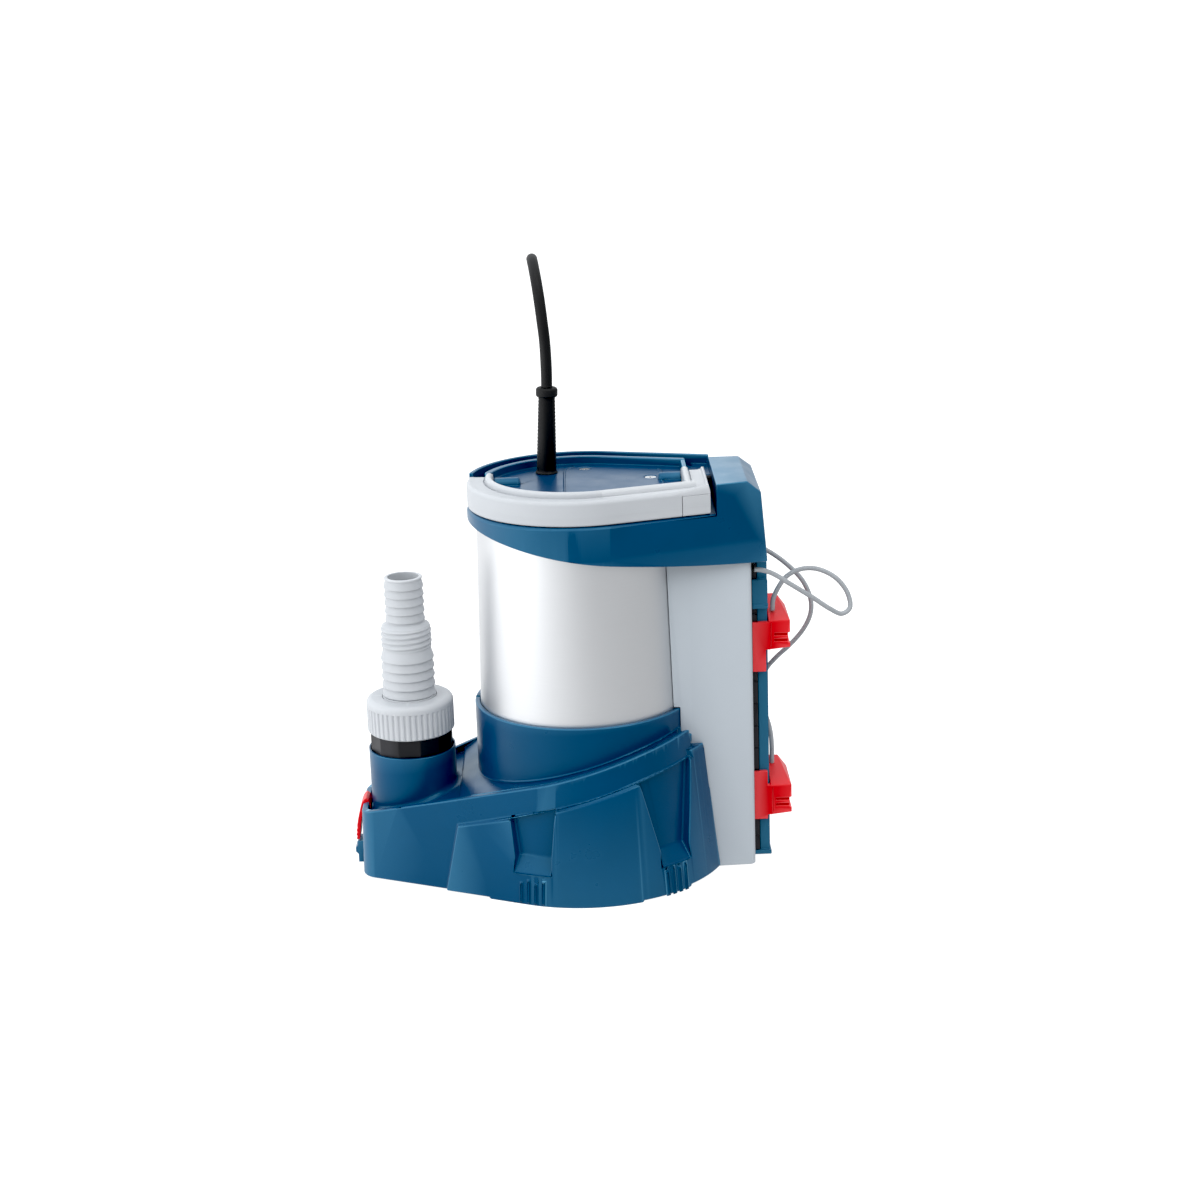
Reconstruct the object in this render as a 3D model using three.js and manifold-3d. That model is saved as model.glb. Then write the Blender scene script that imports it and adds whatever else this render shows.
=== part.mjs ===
// Submersible sump pump with level probes, carrying handle and stepped hose tail.
// Units are millimetres. X runs from the discharge nose to the level probes, Z is up.
import * as THREE from 'three';
import { mergeVertices } from 'three/addons/utils/BufferGeometryUtils.js';
import Module from 'manifold-3d';

const wasm = await Module();
wasm.setup();
const { Manifold, CrossSection } = wasm;

// ---------------------------------------------------------------- driving dimensions
const GAP = 0.3;                 // clearance left between neighbouring pieces
const MOTOR_X = -10.4;            // motor axis, placed so that the whole object is centred on X = 0
const OUTLET_X = -116.5;         // discharge axis, measured from the motor axis
const WALL = 3;                  // moulded wall of the blue base and cover

const BASE_R = 93;               // round part of the base at the floor
const BASE_DRAFT = 0.105;        // how far the base wall leans in for each mm of height
const NOSE_R = 14;               // corner radius of the nose
const NOSE_X = -152;             // front face of the nose
const NOSE_Y = 36;               // half width of the nose at the floor
const EDGE_Z0 = 86.6;            // height of the sweeping top edge over the motor axis
const EDGE_SLOPE = 0.276;        // rise of the sweeping edges for each mm towards the rear
const DECK_DROP = 6;             // deck below the sweeping edge
const PANEL_DROP = 18;           // raised side panel below the sweeping edge
const PANEL_LIFT = 2.5;          // how far the side panel stands out

const BARREL_R = 69;             // stainless barrel at the collar
const BARREL_TAPER = 0.022;      // radius lost for each mm above the collar
const BARREL_T = 1.5;
const BARREL_Z0 = 66;
const BARREL_Z1 = 240;
const COLLAR_R = 72.6;
const COLLAR_Z = 114;

const NOTCH_Y = 46.5;
const NOTCH_Z = 88;

const SLEEVE_R = 29;
const SLEEVE_Z = 82.5;

const HOUSING_Y = 37;            // half width of the rear electronics housing
const HOUSING_X = 111;           // rear face of the housing
const HOUSING_Z0 = 1.5;
const HOUSING_Z1 = 234;

const COVER_R = 72;              // round part of the top cover
const COVER_X = 122;             // rear face of the hood at its foot
const COVER_Y = 39;              // half width of the hood
const LEDGE_Z = 246.4;           // ledge under the carrying handle
const DECK_Z = 258;              // recessed top of the cover
const RIM_Z = 263.2;             // fixed rim around the far half of the deck
const TOP_Z = 264.3;             // flat top of the hood
const COVER_SCREWS = [[6, 46], [49, 15]];

const HANDLE_W = 17;             // width of the handle seen from above
const HANDLE_Z0 = 246.8;
const HANDLE_Z1 = 263.4;
const HANDLE_END_X = 86.5;       // rear side of the handle
const PIVOT_Y = 6;               // handle pivot axis
const PIVOT_Z = 257.5;
const PIVOT_R = 1.8;

const STRIP_X0 = 111.3;
const RAIL_X0 = 115.8;
const RAIL_X1 = 122.4;
const RAIL_Y = 15;               // half width of the probe rail
const PROBE_Y = 19;              // half width of a level probe
const PROBE_X1 = 137;

const CORD_D = 7.5;
const BOOT_X = -19.5;
const BOOT_Y = 36;
const BOOT_H = 58;               // length of the strain relief above the deck
const BOOT_LEAN = 2.2;           // degrees that it leans towards the rear

// ---------------------------------------------------------------- colours
const BLUE = { color: 0x0a538c, roughness: 0.42, metalness: 0 };
const GREY = { color: 0xcdd2d7, roughness: 0.5, metalness: 0 };
const HOUSING_GREY = { color: 0xb2bac2, roughness: 0.45, metalness: 0 };
const BLACK = { color: 0x191919, roughness: 0.6, metalness: 0 };
const RED = { color: 0xde232d, roughness: 0.4, metalness: 0 };
const STEEL = { color: 0xd8dadc, roughness: 0.35, metalness: 1 };
const DARK_STEEL = { color: 0x8c9094, roughness: 0.45, metalness: 1 };
const COPPER = { color: 0xb86b3a, roughness: 0.4, metalness: 1 };
const BRASS = { color: 0xc9a24b, roughness: 0.35, metalness: 1 };
const CERAMIC = { color: 0xe8e4da, roughness: 0.3, metalness: 0 };
const BOARD_GREEN = { color: 0x1f6b3a, roughness: 0.5, metalness: 0 };
const LEAD_GREY = { color: 0xa9abad, roughness: 0.55, metalness: 0 };

const group = new THREE.Group();
group.name = 'sump_pump';

// ---------------------------------------------------------------- helpers
/** Adds one closed solid, given from the motor axis, as a named piece. */
function addSolid(name, solid, look) {
  const data = solid.getMesh();
  const position = new Float32Array(data.numVert * 3);
  for (let i = 0; i < data.numVert; i += 1) {
    position[3 * i] = data.vertProperties[data.numProp * i];
    position[3 * i + 1] = data.vertProperties[data.numProp * i + 1];
    position[3 * i + 2] = data.vertProperties[data.numProp * i + 2];
  }
  const geometry = new THREE.BufferGeometry();
  geometry.setAttribute('position', new THREE.BufferAttribute(position, 3));
  geometry.setIndex(new THREE.BufferAttribute(new Uint32Array(data.triVerts), 1));
  addGeometry(name, geometry, look);
}

/** Adds a three.js geometry, given from the motor axis, as a named piece. */
function addGeometry(name, geometry, look) {
  geometry.translate(MOTOR_X, 0, 0);
  geometry.computeVertexNormals();
  const mesh = new THREE.Mesh(geometry, new THREE.MeshStandardMaterial(look));
  mesh.name = name;
  group.add(mesh);
}

/** Turns a three.js geometry into a solid for boolean work. */
function toSolid(geometry) {
  const bare = new THREE.BufferGeometry();
  bare.setAttribute('position', geometry.getAttribute('position'));
  if (geometry.index) bare.setIndex(geometry.index);
  const merged = mergeVertices(bare, 1e-4);
  return new Manifold(new wasm.Mesh({
    numProp: 3,
    vertProperties: new Float32Array(merged.getAttribute('position').array),
    triVerts: new Uint32Array(merged.index.array),
  }));
}

const box = (x0, x1, y0, y1, z0, z1) => (
  Manifold.cube([x1 - x0, y1 - y0, z1 - z0]).translate([x0, y0, z0]));

/** Upright cylinder or cone. */
const rod = (x, y, z0, z1, r0, r1 = r0, sides = 16) => (
  Manifold.cylinder(z1 - z0, r0, r1, sides).translate([x, y, z0]));

/** Cylinder along X. */
const rodX = (x0, x1, y, z, r, sides = 16) => (
  Manifold.cylinder(x1 - x0, r, r, sides).rotate([0, 90, 0]).translate([x0, y, z]));

/** Cylinder along Y. */
const rodY = (x, y0, y1, z, r, sides = 16) => (
  Manifold.cylinder(y1 - y0, r, r, sides).rotate([-90, 0, 0]).translate([x, y0, z]));

/** Upright tube. */
const tube = (x, y, z0, z1, rOut, rIn, sides = 16) => (
  rod(x, y, z0, z1, rOut, rOut, sides).subtract(rod(x, y, z0 - 1, z1 + 1, rIn, rIn, sides)));

/** Turned solid: profile points are [radius, height]. */
const turned = (x, y, profile, sides = 16) => (
  Manifold.revolve(new CrossSection([profile], 'EvenOdd'), sides).translate([x, y, 0]));

/** Straight block on a closed outline of [x, y] points. */
const prism = (points, height) => new CrossSection([points], 'EvenOdd').extrude(height);

const circlePoints = (x, y, r, sides, z) => Array.from({ length: sides }, (_, i) => {
  const a = (2 * Math.PI * (i + 0.5)) / sides;
  return [x + r * Math.cos(a), y + r * Math.sin(a), z];
});

/** Plan outline of the base at one height, grown or shrunk by `grow`. */
function basePlan(z, grow) {
  const lean = BASE_DRAFT * z;
  const noseLean = 0.02 * z;
  const r = BASE_R - lean + grow;
  const cornerR = NOSE_R + grow;
  const cornerY = NOSE_Y - NOSE_R - 0.8 * lean;
  const cornerX = NOSE_X + NOSE_R + noseLean;
  return [
    ...circlePoints(0, 0, r, 40, z),
    ...circlePoints(cornerX, cornerY, cornerR, 10, z),
    ...circlePoints(cornerX, -cornerY, cornerR, 10, z),
  ];
}

/** Leaning solid of the base between two heights. */
const baseSolid = (z0, z1, grow) => Manifold.hull([...basePlan(z0, grow), ...basePlan(z1, grow)]);

/** Keeps what lies below a plane that rises towards the rear. */
function belowSweep(solid, z0) {
  const length = Math.hypot(1, EDGE_SLOPE);
  return solid.trimByPlane([EDGE_SLOPE / length, 0, -1 / length], -z0 / length);
}

const circle2 = (x, y, r, sides) => CrossSection.circle(r, sides).translate([x, y]);

/** Plan outline of the top cover, offset by `grow`. */
function coverSection(grow) {
  const corner = 5;
  const outline = CrossSection.hull([
    circle2(0, 0, COVER_R, 40),
    circle2(COVER_X - corner, COVER_Y - corner, corner, 8),
    circle2(COVER_X - corner, corner - COVER_Y, corner, 8),
  ]);
  return grow === 0 ? outline : outline.offset(grow, 'Miter', 2);
}

/** Upright block on the cover outline. */
const coverBlock = (z0, z1, grow) => coverSection(grow).extrude(z1 - z0).translate([0, 0, z0]);

/** Barrel radius at one height. */
const barrelR = (z) => BARREL_R - BARREL_TAPER * (z - COLLAR_Z);

/** Barrel envelope between two heights, grown by `grow`. */
const barrelSolid = (z0, z1, grow) => (
  rod(0, 0, z0, z1, barrelR(z0) + grow, barrelR(z1) + grow, 40));

// ---------------------------------------------------------------- base
/** Shallow trapezoid pocket in the side panel, deepest at its foot. */
function sidePocket([angle, z0, z1, tilt, left0, right0, left1, right1], inset, side) {
  const outer = 100;
  const footIn = BASE_R - 4.5 - inset;
  const topIn = BASE_R + PANEL_LIFT - BASE_DRAFT * z1 - 3 - inset;
  const points = [];
  const ledge = 7;
  for (const [s, z] of [[left0, z0 + ledge], [right0, z0 + ledge + tilt * 12]]) {
    points.push([footIn - BASE_DRAFT * z, s, z], [outer, s, z]);
  }
  for (const [s, z] of [[left0, z0], [right0, z0 + tilt * 12]]) {
    points.push([BASE_R + PANEL_LIFT - BASE_DRAFT * z - 0.6 - inset, s, z], [outer, s, z]);
  }
  for (const [s, z] of [[left1, z1], [right1, z1 + tilt * 30]]) {
    points.push([topIn, s, z], [outer, s, z]);
  }
  const pocket = Manifold.hull(points).rotate([0, 0, -angle]);
  return side < 0 ? pocket : pocket.mirror([0, 1, 0]);
}

// angle from +X, foot height, top height, tilt, then the left and right edges at the foot and at the top
const POCKETS = [
  [114, 22, 62, 0.05, -14, 12, -19, 17],
  [49, 30, 82, 0.25, -10, 11, -29, 15],
];

/** Room left between the end of the base wall and the rear housing, grown by `grow`. */
const endNotch = (grow) => box(60 - grow, 130, -NOTCH_Y - grow, NOTCH_Y + grow, NOTCH_Z - grow, 130)
  .subtract(rod(0, 0, 0, 140, COLLAR_R, COLLAR_R, 40));

function buildBaseShell() {
  const deckZ0 = EDGE_Z0 - DECK_DROP;
  const body = belowSweep(baseSolid(0, 118, 0), deckZ0);
  const rimWall = belowSweep(baseSolid(0, 118, 0), EDGE_Z0).subtract(baseSolid(-1, 119, -4));
  const panelFront = Manifold.hull([
    [-95, -100, 0], [-95, 100, 0], [-85, -100, 46], [-85, 100, 46], [-70, -100, 120], [-70, 100, 120],
    [120, -100, 0], [120, 100, 0], [120, -100, 120], [120, 100, 120],
  ]);
  const panel = belowSweep(baseSolid(0, 118, PANEL_LIFT), EDGE_Z0 - PANEL_DROP).intersect(panelFront);
  let shell = body.add(rimWall).add(panel);
  // collar around the barrel and sleeve around the discharge nipple
  shell = shell.add(rod(0, 0, 40, COLLAR_Z, COLLAR_R, COLLAR_R, 40));
  shell = shell.add(rod(0, 0, 50, 73, COLLAR_R + 5, COLLAR_R, 40));
  shell = shell.add(rod(OUTLET_X, 0, 30, SLEEVE_Z, SLEEVE_R, SLEEVE_R, 32));
  shell = shell.add(rod(OUTLET_X, 0, 40, 58, SLEEVE_R + 3.5, SLEEVE_R, 32));
  shell = shell.intersect(Manifold.union([
    belowSweep(baseSolid(0, 118, PANEL_LIFT + 2), EDGE_Z0),
    rod(0, 0, 0, COLLAR_Z, COLLAR_R, COLLAR_R, 40),
    rod(OUTLET_X, 0, 0, SLEEVE_Z, SLEEVE_R, SLEEVE_R, 32),
  ]));
  // the wall stops short of the rear housing, with a ledge level with the side panel
  shell = shell.subtract(endNotch(0));
  // hollow underside
  let inside = belowSweep(baseSolid(-1, 118, -WALL - 1), deckZ0 - WALL).subtract(endNotch(WALL));
  for (const side of [-1, 1]) {
    for (const pocket of POCKETS) {
      inside = inside.subtract(sidePocket(pocket, 2.4, side));
      shell = shell.subtract(sidePocket(pocket, 0, side));
    }
  }
  shell = shell.subtract(inside);
  shell = shell.subtract(barrelSolid(62, 130, GAP));
  shell = shell.subtract(rod(OUTLET_X, 0, 20, 100, SLEEVE_R - 0.9, SLEEVE_R - 0.9, 32));
  // slot for the rear housing
  shell = shell.subtract(box(60, 130, -HOUSING_Y - 0.8, HOUSING_Y + 0.8, -1, 130).subtract(
    rod(0, 0, -1, COLLAR_Z + 1, COLLAR_R, COLLAR_R, 40)));
  // the nose and the rear stand a little clear of the floor
  shell = shell.subtract(box(-170, -66, -110, 110, -1, 1.2));
  shell = shell.subtract(box(52, 130, -110, 110, -1, 1.2));
  // slot for the catch tongue and seat for the latch on the nose
  shell = shell.subtract(box(-170, -140, -7 - GAP, 7 + GAP, -1, 5 + GAP));
  shell = shell.subtract(box(-160, -145.6, -LATCH_Y - 0.6, LATCH_Y + 0.6, 36.4, 60));
  return shell.subtract(rodY(LATCH_PIN[0], -LATCH_Y - 4, LATCH_Y + 4, LATCH_PIN[1], 1.2 + GAP / 2));
}

/** Bottom plate with inlet slots, feet and the catch that the latch closes on. */
function buildStrainerPlate() {
  const plan = 0.5 + WALL + 1.2;
  let plate = Manifold.hull([...basePlan(1.5, -plan), ...basePlan(5, -plan)]);
  plate = plate.subtract(box(60 - 1, 130, -HOUSING_Y - 1.2, HOUSING_Y + 1.2, -1, 20));
  plate = plate.subtract(rod(0, 0, -1, 20, 26, 26));
  for (let i = 0; i < 12; i += 1) {
    const slot = box(34, 56, -2, 2, -1, 20).rotate([0, 0, i * 30]);
    plate = plate.subtract(slot);
  }
  for (const [x, y] of [[-132, 22], [-132, -22], [-40, 68], [-40, -68], [42, 64], [42, -64]]) {
    plate = plate.add(rod(x, y, 0, 3, 6, 7, 10));
  }
  // tongue that carries the catch outside the nose
  plate = plate.add(box(-153.2, -140, -7, 7, 2, 5));
  plate = plate.add(box(-156.6, -152.8, -7, 7, 2, 17));
  plate = plate.add(Manifold.hull([
    [-158.4, -6, 9], [-158.4, 6, 9], [-155.5, -6, 6], [-155.5, 6, 6], [-155.5, -6, 15], [-155.5, 6, 15],
    [-158.4, -6, 12], [-158.4, 6, 12],
  ]));
  return plate;
}

/** Red lever on the nose: a curved finger plate hung on a pin at its top. */
const LATCH_PIN = [-148.9, 42];
const LATCH_Y = 7.5;
function buildLatch() {
  const outer = [[-149.2, 48], [-151.8, 45.6], [-154.2, 38], [-156.2, 29], [-157.2, 21], [-157, 18.4]];
  const inner = [[-154.9, 18.4], [-154.4, 22], [-153.2, 31], [-152.1, 36.6], [-149.6, 39.2], [-146.4, 40.4]];
  const top = [[-146.2, 43.6], [-147.4, 46.8]];
  const lever = prism([...outer, ...inner, ...top], 2 * LATCH_Y).rotate([90, 0, 0]).translate([0, LATCH_Y, 0]);
  return lever.subtract(rodY(LATCH_PIN[0], -20, 20, LATCH_PIN[1], 1.2 + GAP / 2));
}

// ---------------------------------------------------------------- pump stage
function buildVoluteCasing() {
  let casing = rod(0, 0, 12, 52, 61, 61, 24);
  casing = casing.add(Manifold.hull([
    ...circlePoints(0, 0, 46, 48, 14), ...circlePoints(0, 0, 46, 48, 38),
    ...circlePoints(OUTLET_X, 0, 21, 32, 14), ...circlePoints(OUTLET_X, 0, 21, 32, 38),
  ]));
  casing = casing.add(rod(OUTLET_X, 0, 14, 66, 20, 20, 32));
  // scroll chamber, open below where the wear plate closes it
  casing = casing.subtract(rod(0, 0, 8, 44, 55, 55, 24));
  casing = casing.subtract(Manifold.hull([
    ...circlePoints(0, 20, 15, 32, 18), ...circlePoints(0, 20, 15, 32, 34),
    ...circlePoints(OUTLET_X, 0, 14, 32, 18), ...circlePoints(OUTLET_X, 0, 14, 32, 34),
  ]));
  casing = casing.subtract(rod(OUTLET_X, 0, 20, 70, 14, 14, 24));
  // shaft passage
  casing = casing.subtract(rod(0, 0, 40, 60, 13, 13, 24));
  return casing;
}

function buildWearPlate() {
  const plate = rod(0, 0, 12.3, 16, 54.6, 54.6, 24).subtract(rod(0, 0, 5, 30, 20, 20));
  return plate.add(tube(0, 0, 7, 12.5, 24, 20));
}

function buildImpeller() {
  let wheel = rod(0, 0, 32, 36, 46, 46, 24).add(rod(0, 0, 24, 41, 9, 9));
  for (let i = 0; i < 6; i += 1) {
    const ring = tube(0, 26, 18.5, 33, 28, 25.4, 14).intersect(box(4, 45, -30, 30, 10, 40));
    wheel = wheel.add(ring.rotate([0, 0, i * 60]));
  }
  wheel = wheel.subtract(rod(0, 0, 10, 23.7, 8));
  return wheel.subtract(rod(0, 0, 0, 60, 5 + GAP / 2, 5 + GAP / 2, 24));
}

// ---------------------------------------------------------------- motor
const SHAFT_Z0 = 16;
const SHAFT_Z1 = 205;
function buildShaft() {
  return turned(0, 0, [
    [0, SHAFT_Z0], [3.8, SHAFT_Z0], [3.8, 23.5], [5, 23.5], [5, 60], [7, 60], [7, 84], [8.8, 84],
    [8.8, 174], [7, 174], [7, 196], [5, 196], [5, SHAFT_Z1], [0, SHAFT_Z1],
  ]);
}

const CAN_R = 54.4;
const CAN_WALL = 2;
/** Motor can that holds both bearings, open at the top. */
function buildMotorCan() {
  const inner = CAN_R - CAN_WALL;
  let can = rod(0, 0, 62, 196, CAN_R, CAN_R, 24).subtract(rod(0, 0, 67, 220, inner, inner, 24));
  can = can.add(rod(0, 0, 66, 82, 20, 20));
  return can.subtract(rod(0, 0, 40, 100, 11, 11)).subtract(rod(0, 0, 72, 100, 16.2, 16.2));
}

/** Upper bearing bracket that closes the motor can. */
function buildBearingBracket() {
  let bracket = rod(0, 0, 196.3, 200.3, CAN_R, CAN_R, 24).add(rod(0, 0, 180, 199, 20, 20));
  bracket = bracket.subtract(rod(0, 0, 170, 192, 16.2, 16.2));
  bracket = bracket.subtract(rod(0, 0, 170, 210, 9));
  return bracket;
}

function buildStator() {
  const outer = CAN_R - CAN_WALL - 0.4;
  let core = rod(0, 0, 100, 158, outer, outer, 24).subtract(rod(0, 0, 90, 170, 31, 31, 24));
  for (let i = 0; i < 12; i += 1) {
    const slot = box(29, 44, -3.4, 3.4, 90, 170).rotate([0, 0, i * 30]);
    core = core.subtract(slot);
  }
  return core;
}

const buildWinding = (z0, z1) => turned(0, 0, [
  [34, z0], [47, z0], [50, z0 + 4], [50, z1 - 4], [47, z1], [34, z1],
], 24);

const buildRotor = () => tube(0, 0, 98, 160, 30, 8.8 + GAP / 2, 24);
const buildBearing = (z0) => tube(0, 0, z0, z0 + 9, 16, 7.2);

// ---------------------------------------------------------------- barrel
function buildBarrel() {
  return barrelSolid(BARREL_Z0, BARREL_Z1, 0).subtract(barrelSolid(BARREL_Z0 - 2, BARREL_Z1 + 2, -BARREL_T));
}

// ---------------------------------------------------------------- top cover
/** Height of the lower edge of the cover band. */
const bandZ = (x) => 223 - 0.175 * x + 0.00062 * x * x;

/** Solid below the lower edge of the band, to cut it away. */
function belowBand(drop) {
  const points = [[-120, 150]];
  points.push([140, 150]);
  for (let x = 140; x >= -120; x -= 10) points.push([x, bandZ(x) - drop]);
  return prism(points, 260).rotate([90, 0, 0]).translate([0, 130, 0]);
}

/** Hood over the electronics at the rear of the cover, grown or shrunk by `grow`. */
function hoodSolid(grow) {
  const corners = [
    [86, 49 + grow, 196], [COVER_X + 1.4 + grow, COVER_Y + 1 + grow, 196],
    [86, 48.5 + grow, 255 + grow], [118.6 + grow, 34 + grow, 255 + grow],
    [86, 46 + grow, TOP_Z + grow], [108.5 + grow, 32 + grow, TOP_Z + grow],
  ];
  const points = [];
  for (const [x, y, z] of corners) points.push([x, y, z], [x, -y, z]);
  return Manifold.hull(points);
}

const HOOD_X0 = HANDLE_END_X + 1.8;

function buildTopCover() {
  let cover = coverBlock(196, LEDGE_Z, 0).intersect(box(-100, HOOD_X0 + 2, -100, 100, 190, 300));
  cover = cover.add(hoodSolid(0).intersect(box(HOOD_X0, 140, -90, 90, 190, 300)));
  // deck inside the carrying handle, and the far half with its rim and inner rib
  const reach = box(-100, HANDLE_END_X - HANDLE_W - 1, -100, 100, 190, 300);
  cover = cover.add(coverBlock(240, DECK_Z, -HANDLE_W - 1.2).intersect(reach));
  const farHalf = box(-100, HOOD_X0 + 1, PIVOT_Y + 12, 100, 230, 300);
  cover = cover.add(coverBlock(240, DECK_Z, 0).intersect(farHalf));
  cover = cover.add(coverBlock(DECK_Z - 1, RIM_Z, 0).subtract(coverBlock(240, 300, -2.6)).intersect(farHalf));
  const ribReach = box(-60, 73, PIVOT_Y + 13, 100, 230, 300);
  cover = cover.add(coverBlock(DECK_Z - 1, RIM_Z - 1.5, -10).subtract(coverBlock(240, 300, -12.4)).intersect(ribReach));
  cover = cover.add(coverBlock(DECK_Z - 1, RIM_Z - 1.5, -10).intersect(box(70.6, 73, PIVOT_Y + 16, 38, 240, 300)));
  const channelReach = box(-66, 78, PIVOT_Y + 14, 100, 230, 300);
  cover = cover.subtract(coverBlock(DECK_Z - 4, 300, -2.6).subtract(coverBlock(240, 310, -10)).intersect(channelReach));
  // hinge barrels on the deck
  for (const [x0, x1] of [[-53.2, -38], [55, HANDLE_END_X - HANDLE_W - 1.2]]) {
    cover = cover.add(rodX(x0, x1, PIVOT_Y, PIVOT_Z + 0.4, 3.9));
  }
  cover = cover.subtract(belowBand(0));
  // inside: seat for the barrel, room for the motor and for the electronics
  cover = cover.subtract(barrelSolid(190, BARREL_Z1 + GAP, GAP));
  cover = cover.subtract(rod(0, 0, 200, DECK_Z - WALL, 52, 52, 32));
  cover = cover.subtract(coverBlock(180, LEDGE_Z - WALL, -WALL).intersect(box(30, 90, -90, 90, 150, 300)));
  cover = cover.subtract(hoodSolid(-WALL).intersect(box(HOOD_X0 + WALL, 140, -90, 90, 150, 300)));
  cover = cover.subtract(hoodSolid(-WALL).intersect(box(80, 140, -90, 90, 150, LEDGE_Z - WALL)));
  // cable entry, pivot bores, screw holes with their countersinks
  cover = cover.subtract(rod(BOOT_X, BOOT_Y, 200, 300, 4.6, 4.6, 32));
  cover = cover.subtract(rodX(-62, -38.5, PIVOT_Y, PIVOT_Z, PIVOT_R + GAP / 2));
  cover = cover.subtract(rodX(55.5, HOOD_X0 + 2, PIVOT_Y, PIVOT_Z, PIVOT_R + GAP / 2));
  for (const [x, y] of COVER_SCREWS) {
    cover = cover.subtract(rod(x, y, DECK_Z - 10, DECK_Z + 5, 1.9, 1.9, 24));
    cover = cover.subtract(rod(x, y, DECK_Z - 2.4, DECK_Z + 5, 4.2, 4.2, 24));
  }
  return cover;
}

/** Countersunk cover screw with a cross recess. */
function buildCoverScrew(x, y) {
  const top = DECK_Z - 0.4;
  let screw = rod(x, y, top - 1.9, top, 3.8, 3.8, 32).add(rod(x, y, top - 9, top - 1, 1.6, 1.6, 16));
  screw = screw.subtract(box(x - 2.2, x + 2.2, y - 0.4, y + 0.4, top - 1, top + 1));
  return screw.subtract(box(x - 0.4, x + 0.4, y - 2.2, y + 2.2, top - 1, top + 1));
}

// ---------------------------------------------------------------- carrying handle
/** Whole handle: a bow around the near half with two arms that end on the pivot axis. */
function buildHandleSolid() {
  const endX = HANDLE_END_X;
  const armX = HANDLE_END_X - HANDLE_W;
  const plan = (grow, x) => coverSection(grow).intersect(CrossSection.square([x + 100, 300]).translate([-100, -150]));
  const slab = (section, z0, z1) => section.extrude(z1 - z0).translate([0, 0, z0]);
  const midZ = (HANDLE_Z0 + HANDLE_Z1) / 2;
  const tailR = (HANDLE_Z1 - HANDLE_Z0) / 2;
  const edge = 2.4;
  const hollow = slab(plan(-HANDLE_W, armX), 240, 280);
  let bow = slab(plan(0.6, endX), HANDLE_Z0, HANDLE_Z1 - edge);
  bow = bow.add(slab(plan(-0.1, endX), HANDLE_Z1 - edge, HANDLE_Z1 - edge / 2));
  bow = bow.add(slab(plan(-1.4, endX), HANDLE_Z1 - edge / 2, HANDLE_Z1));
  const bead = slab(plan(-HANDLE_W + 2.6, armX + 2.6), HANDLE_Z1 - 1, HANDLE_Z1 + 1.8);
  const outerBead = slab(plan(-0.8, endX), HANDLE_Z1 - 1, HANDLE_Z1 + 1.8)
    .intersect(box(endX - 2.6, 100, -100, 100, 200, 300));
  bow = bow.add(bead).add(outerBead).subtract(hollow);
  // arms: rounded tails around the pivot
  const tailReach = box(-100, 100, -100, PIVOT_Y, 200, 300).add(rodX(-100, 100, PIVOT_Y, midZ, tailR, 40));
  bow = bow.intersect(tailReach.add(rodX(-100, 100, PIVOT_Y, HANDLE_Z1 - 2.5, 4.4, 32)));
  // flat inner side on the left tail, so that it clears the round deck as it swings
  bow = bow.subtract(box(-54.4, -40, PIVOT_Y, 60, 200, 300));
  bow = bow.subtract(rodX(-80, -50, PIVOT_Y, PIVOT_Z, PIVOT_R + GAP / 2));
  return bow.subtract(rodX(armX - 1, endX + 1, PIVOT_Y, PIVOT_Z, PIVOT_R + GAP / 2));
}

/** Cap let into the lower outer corner of the handle, and the pocket it sits in. */
const capBlock = (grow) => box(66.5 - grow, 120, -100, -34 + grow, 200, HANDLE_Z1 - 3.4 + grow);

// ---------------------------------------------------------------- rear electronics housing
function housingSection(grow) {
  const y = HOUSING_Y + grow;
  const x1 = HOUSING_X + grow;
  const near = [[50, -y - 0.6], [70, -y - 0.6], [x1 - 3, -y + 1.6], [x1, -y + 4.6]];
  const far = near.map(([x, v]) => [x, -v]).reverse();
  return new CrossSection([[...near, ...far]], 'EvenOdd');
}

function buildRearHousing() {
  let housing = housingSection(0).extrude(HOUSING_Z1 - HOUSING_Z0).translate([0, 0, HOUSING_Z0]);
  housing = housing.subtract(rod(0, 0, -5, COLLAR_Z + 0.5, COLLAR_R + GAP, COLLAR_R + GAP, 40));
  housing = housing.subtract(rod(0, 0, -5, 45, 80, 80, 40));
  housing = housing.subtract(barrelSolid(COLLAR_Z - 1, HOUSING_Z1 + 3, GAP));
  const hollow = housingSection(-2.4).extrude(300).translate([0, 0, HOUSING_Z0 + 2.6])
    .subtract(rod(0, 0, -5, COLLAR_Z + 3, COLLAR_R + 3, COLLAR_R + 3, 40))
    .subtract(rod(0, 0, -5, 48, 82.6, 82.6, 40))
    .subtract(barrelSolid(COLLAR_Z - 1, 320, 2.8));
  housing = housing.subtract(hollow);
  // lead-in for the two probe leads in the rear wall
  for (const [y, z] of [LEAD_A_EXIT, LEAD_B_EXIT]) {
    housing = housing.subtract(rodX(HOUSING_X - 5, HOUSING_X + 5, y, z, LEAD_GLAND_R + GAP));
  }
  return housing;
}

const LEAD_D = 3.2;
const LEAD_GLAND_R = 3;
const LEAD_A_EXIT = [-29, 204];
const LEAD_B_EXIT = [29, 206];

/** Black strip on the rear face that the rail clips to. */
const buildGuideStrip = () => box(STRIP_X0, RAIL_X0 - GAP, -RAIL_Y - 1.5, RAIL_Y + 1.5, 4, 204);

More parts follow.
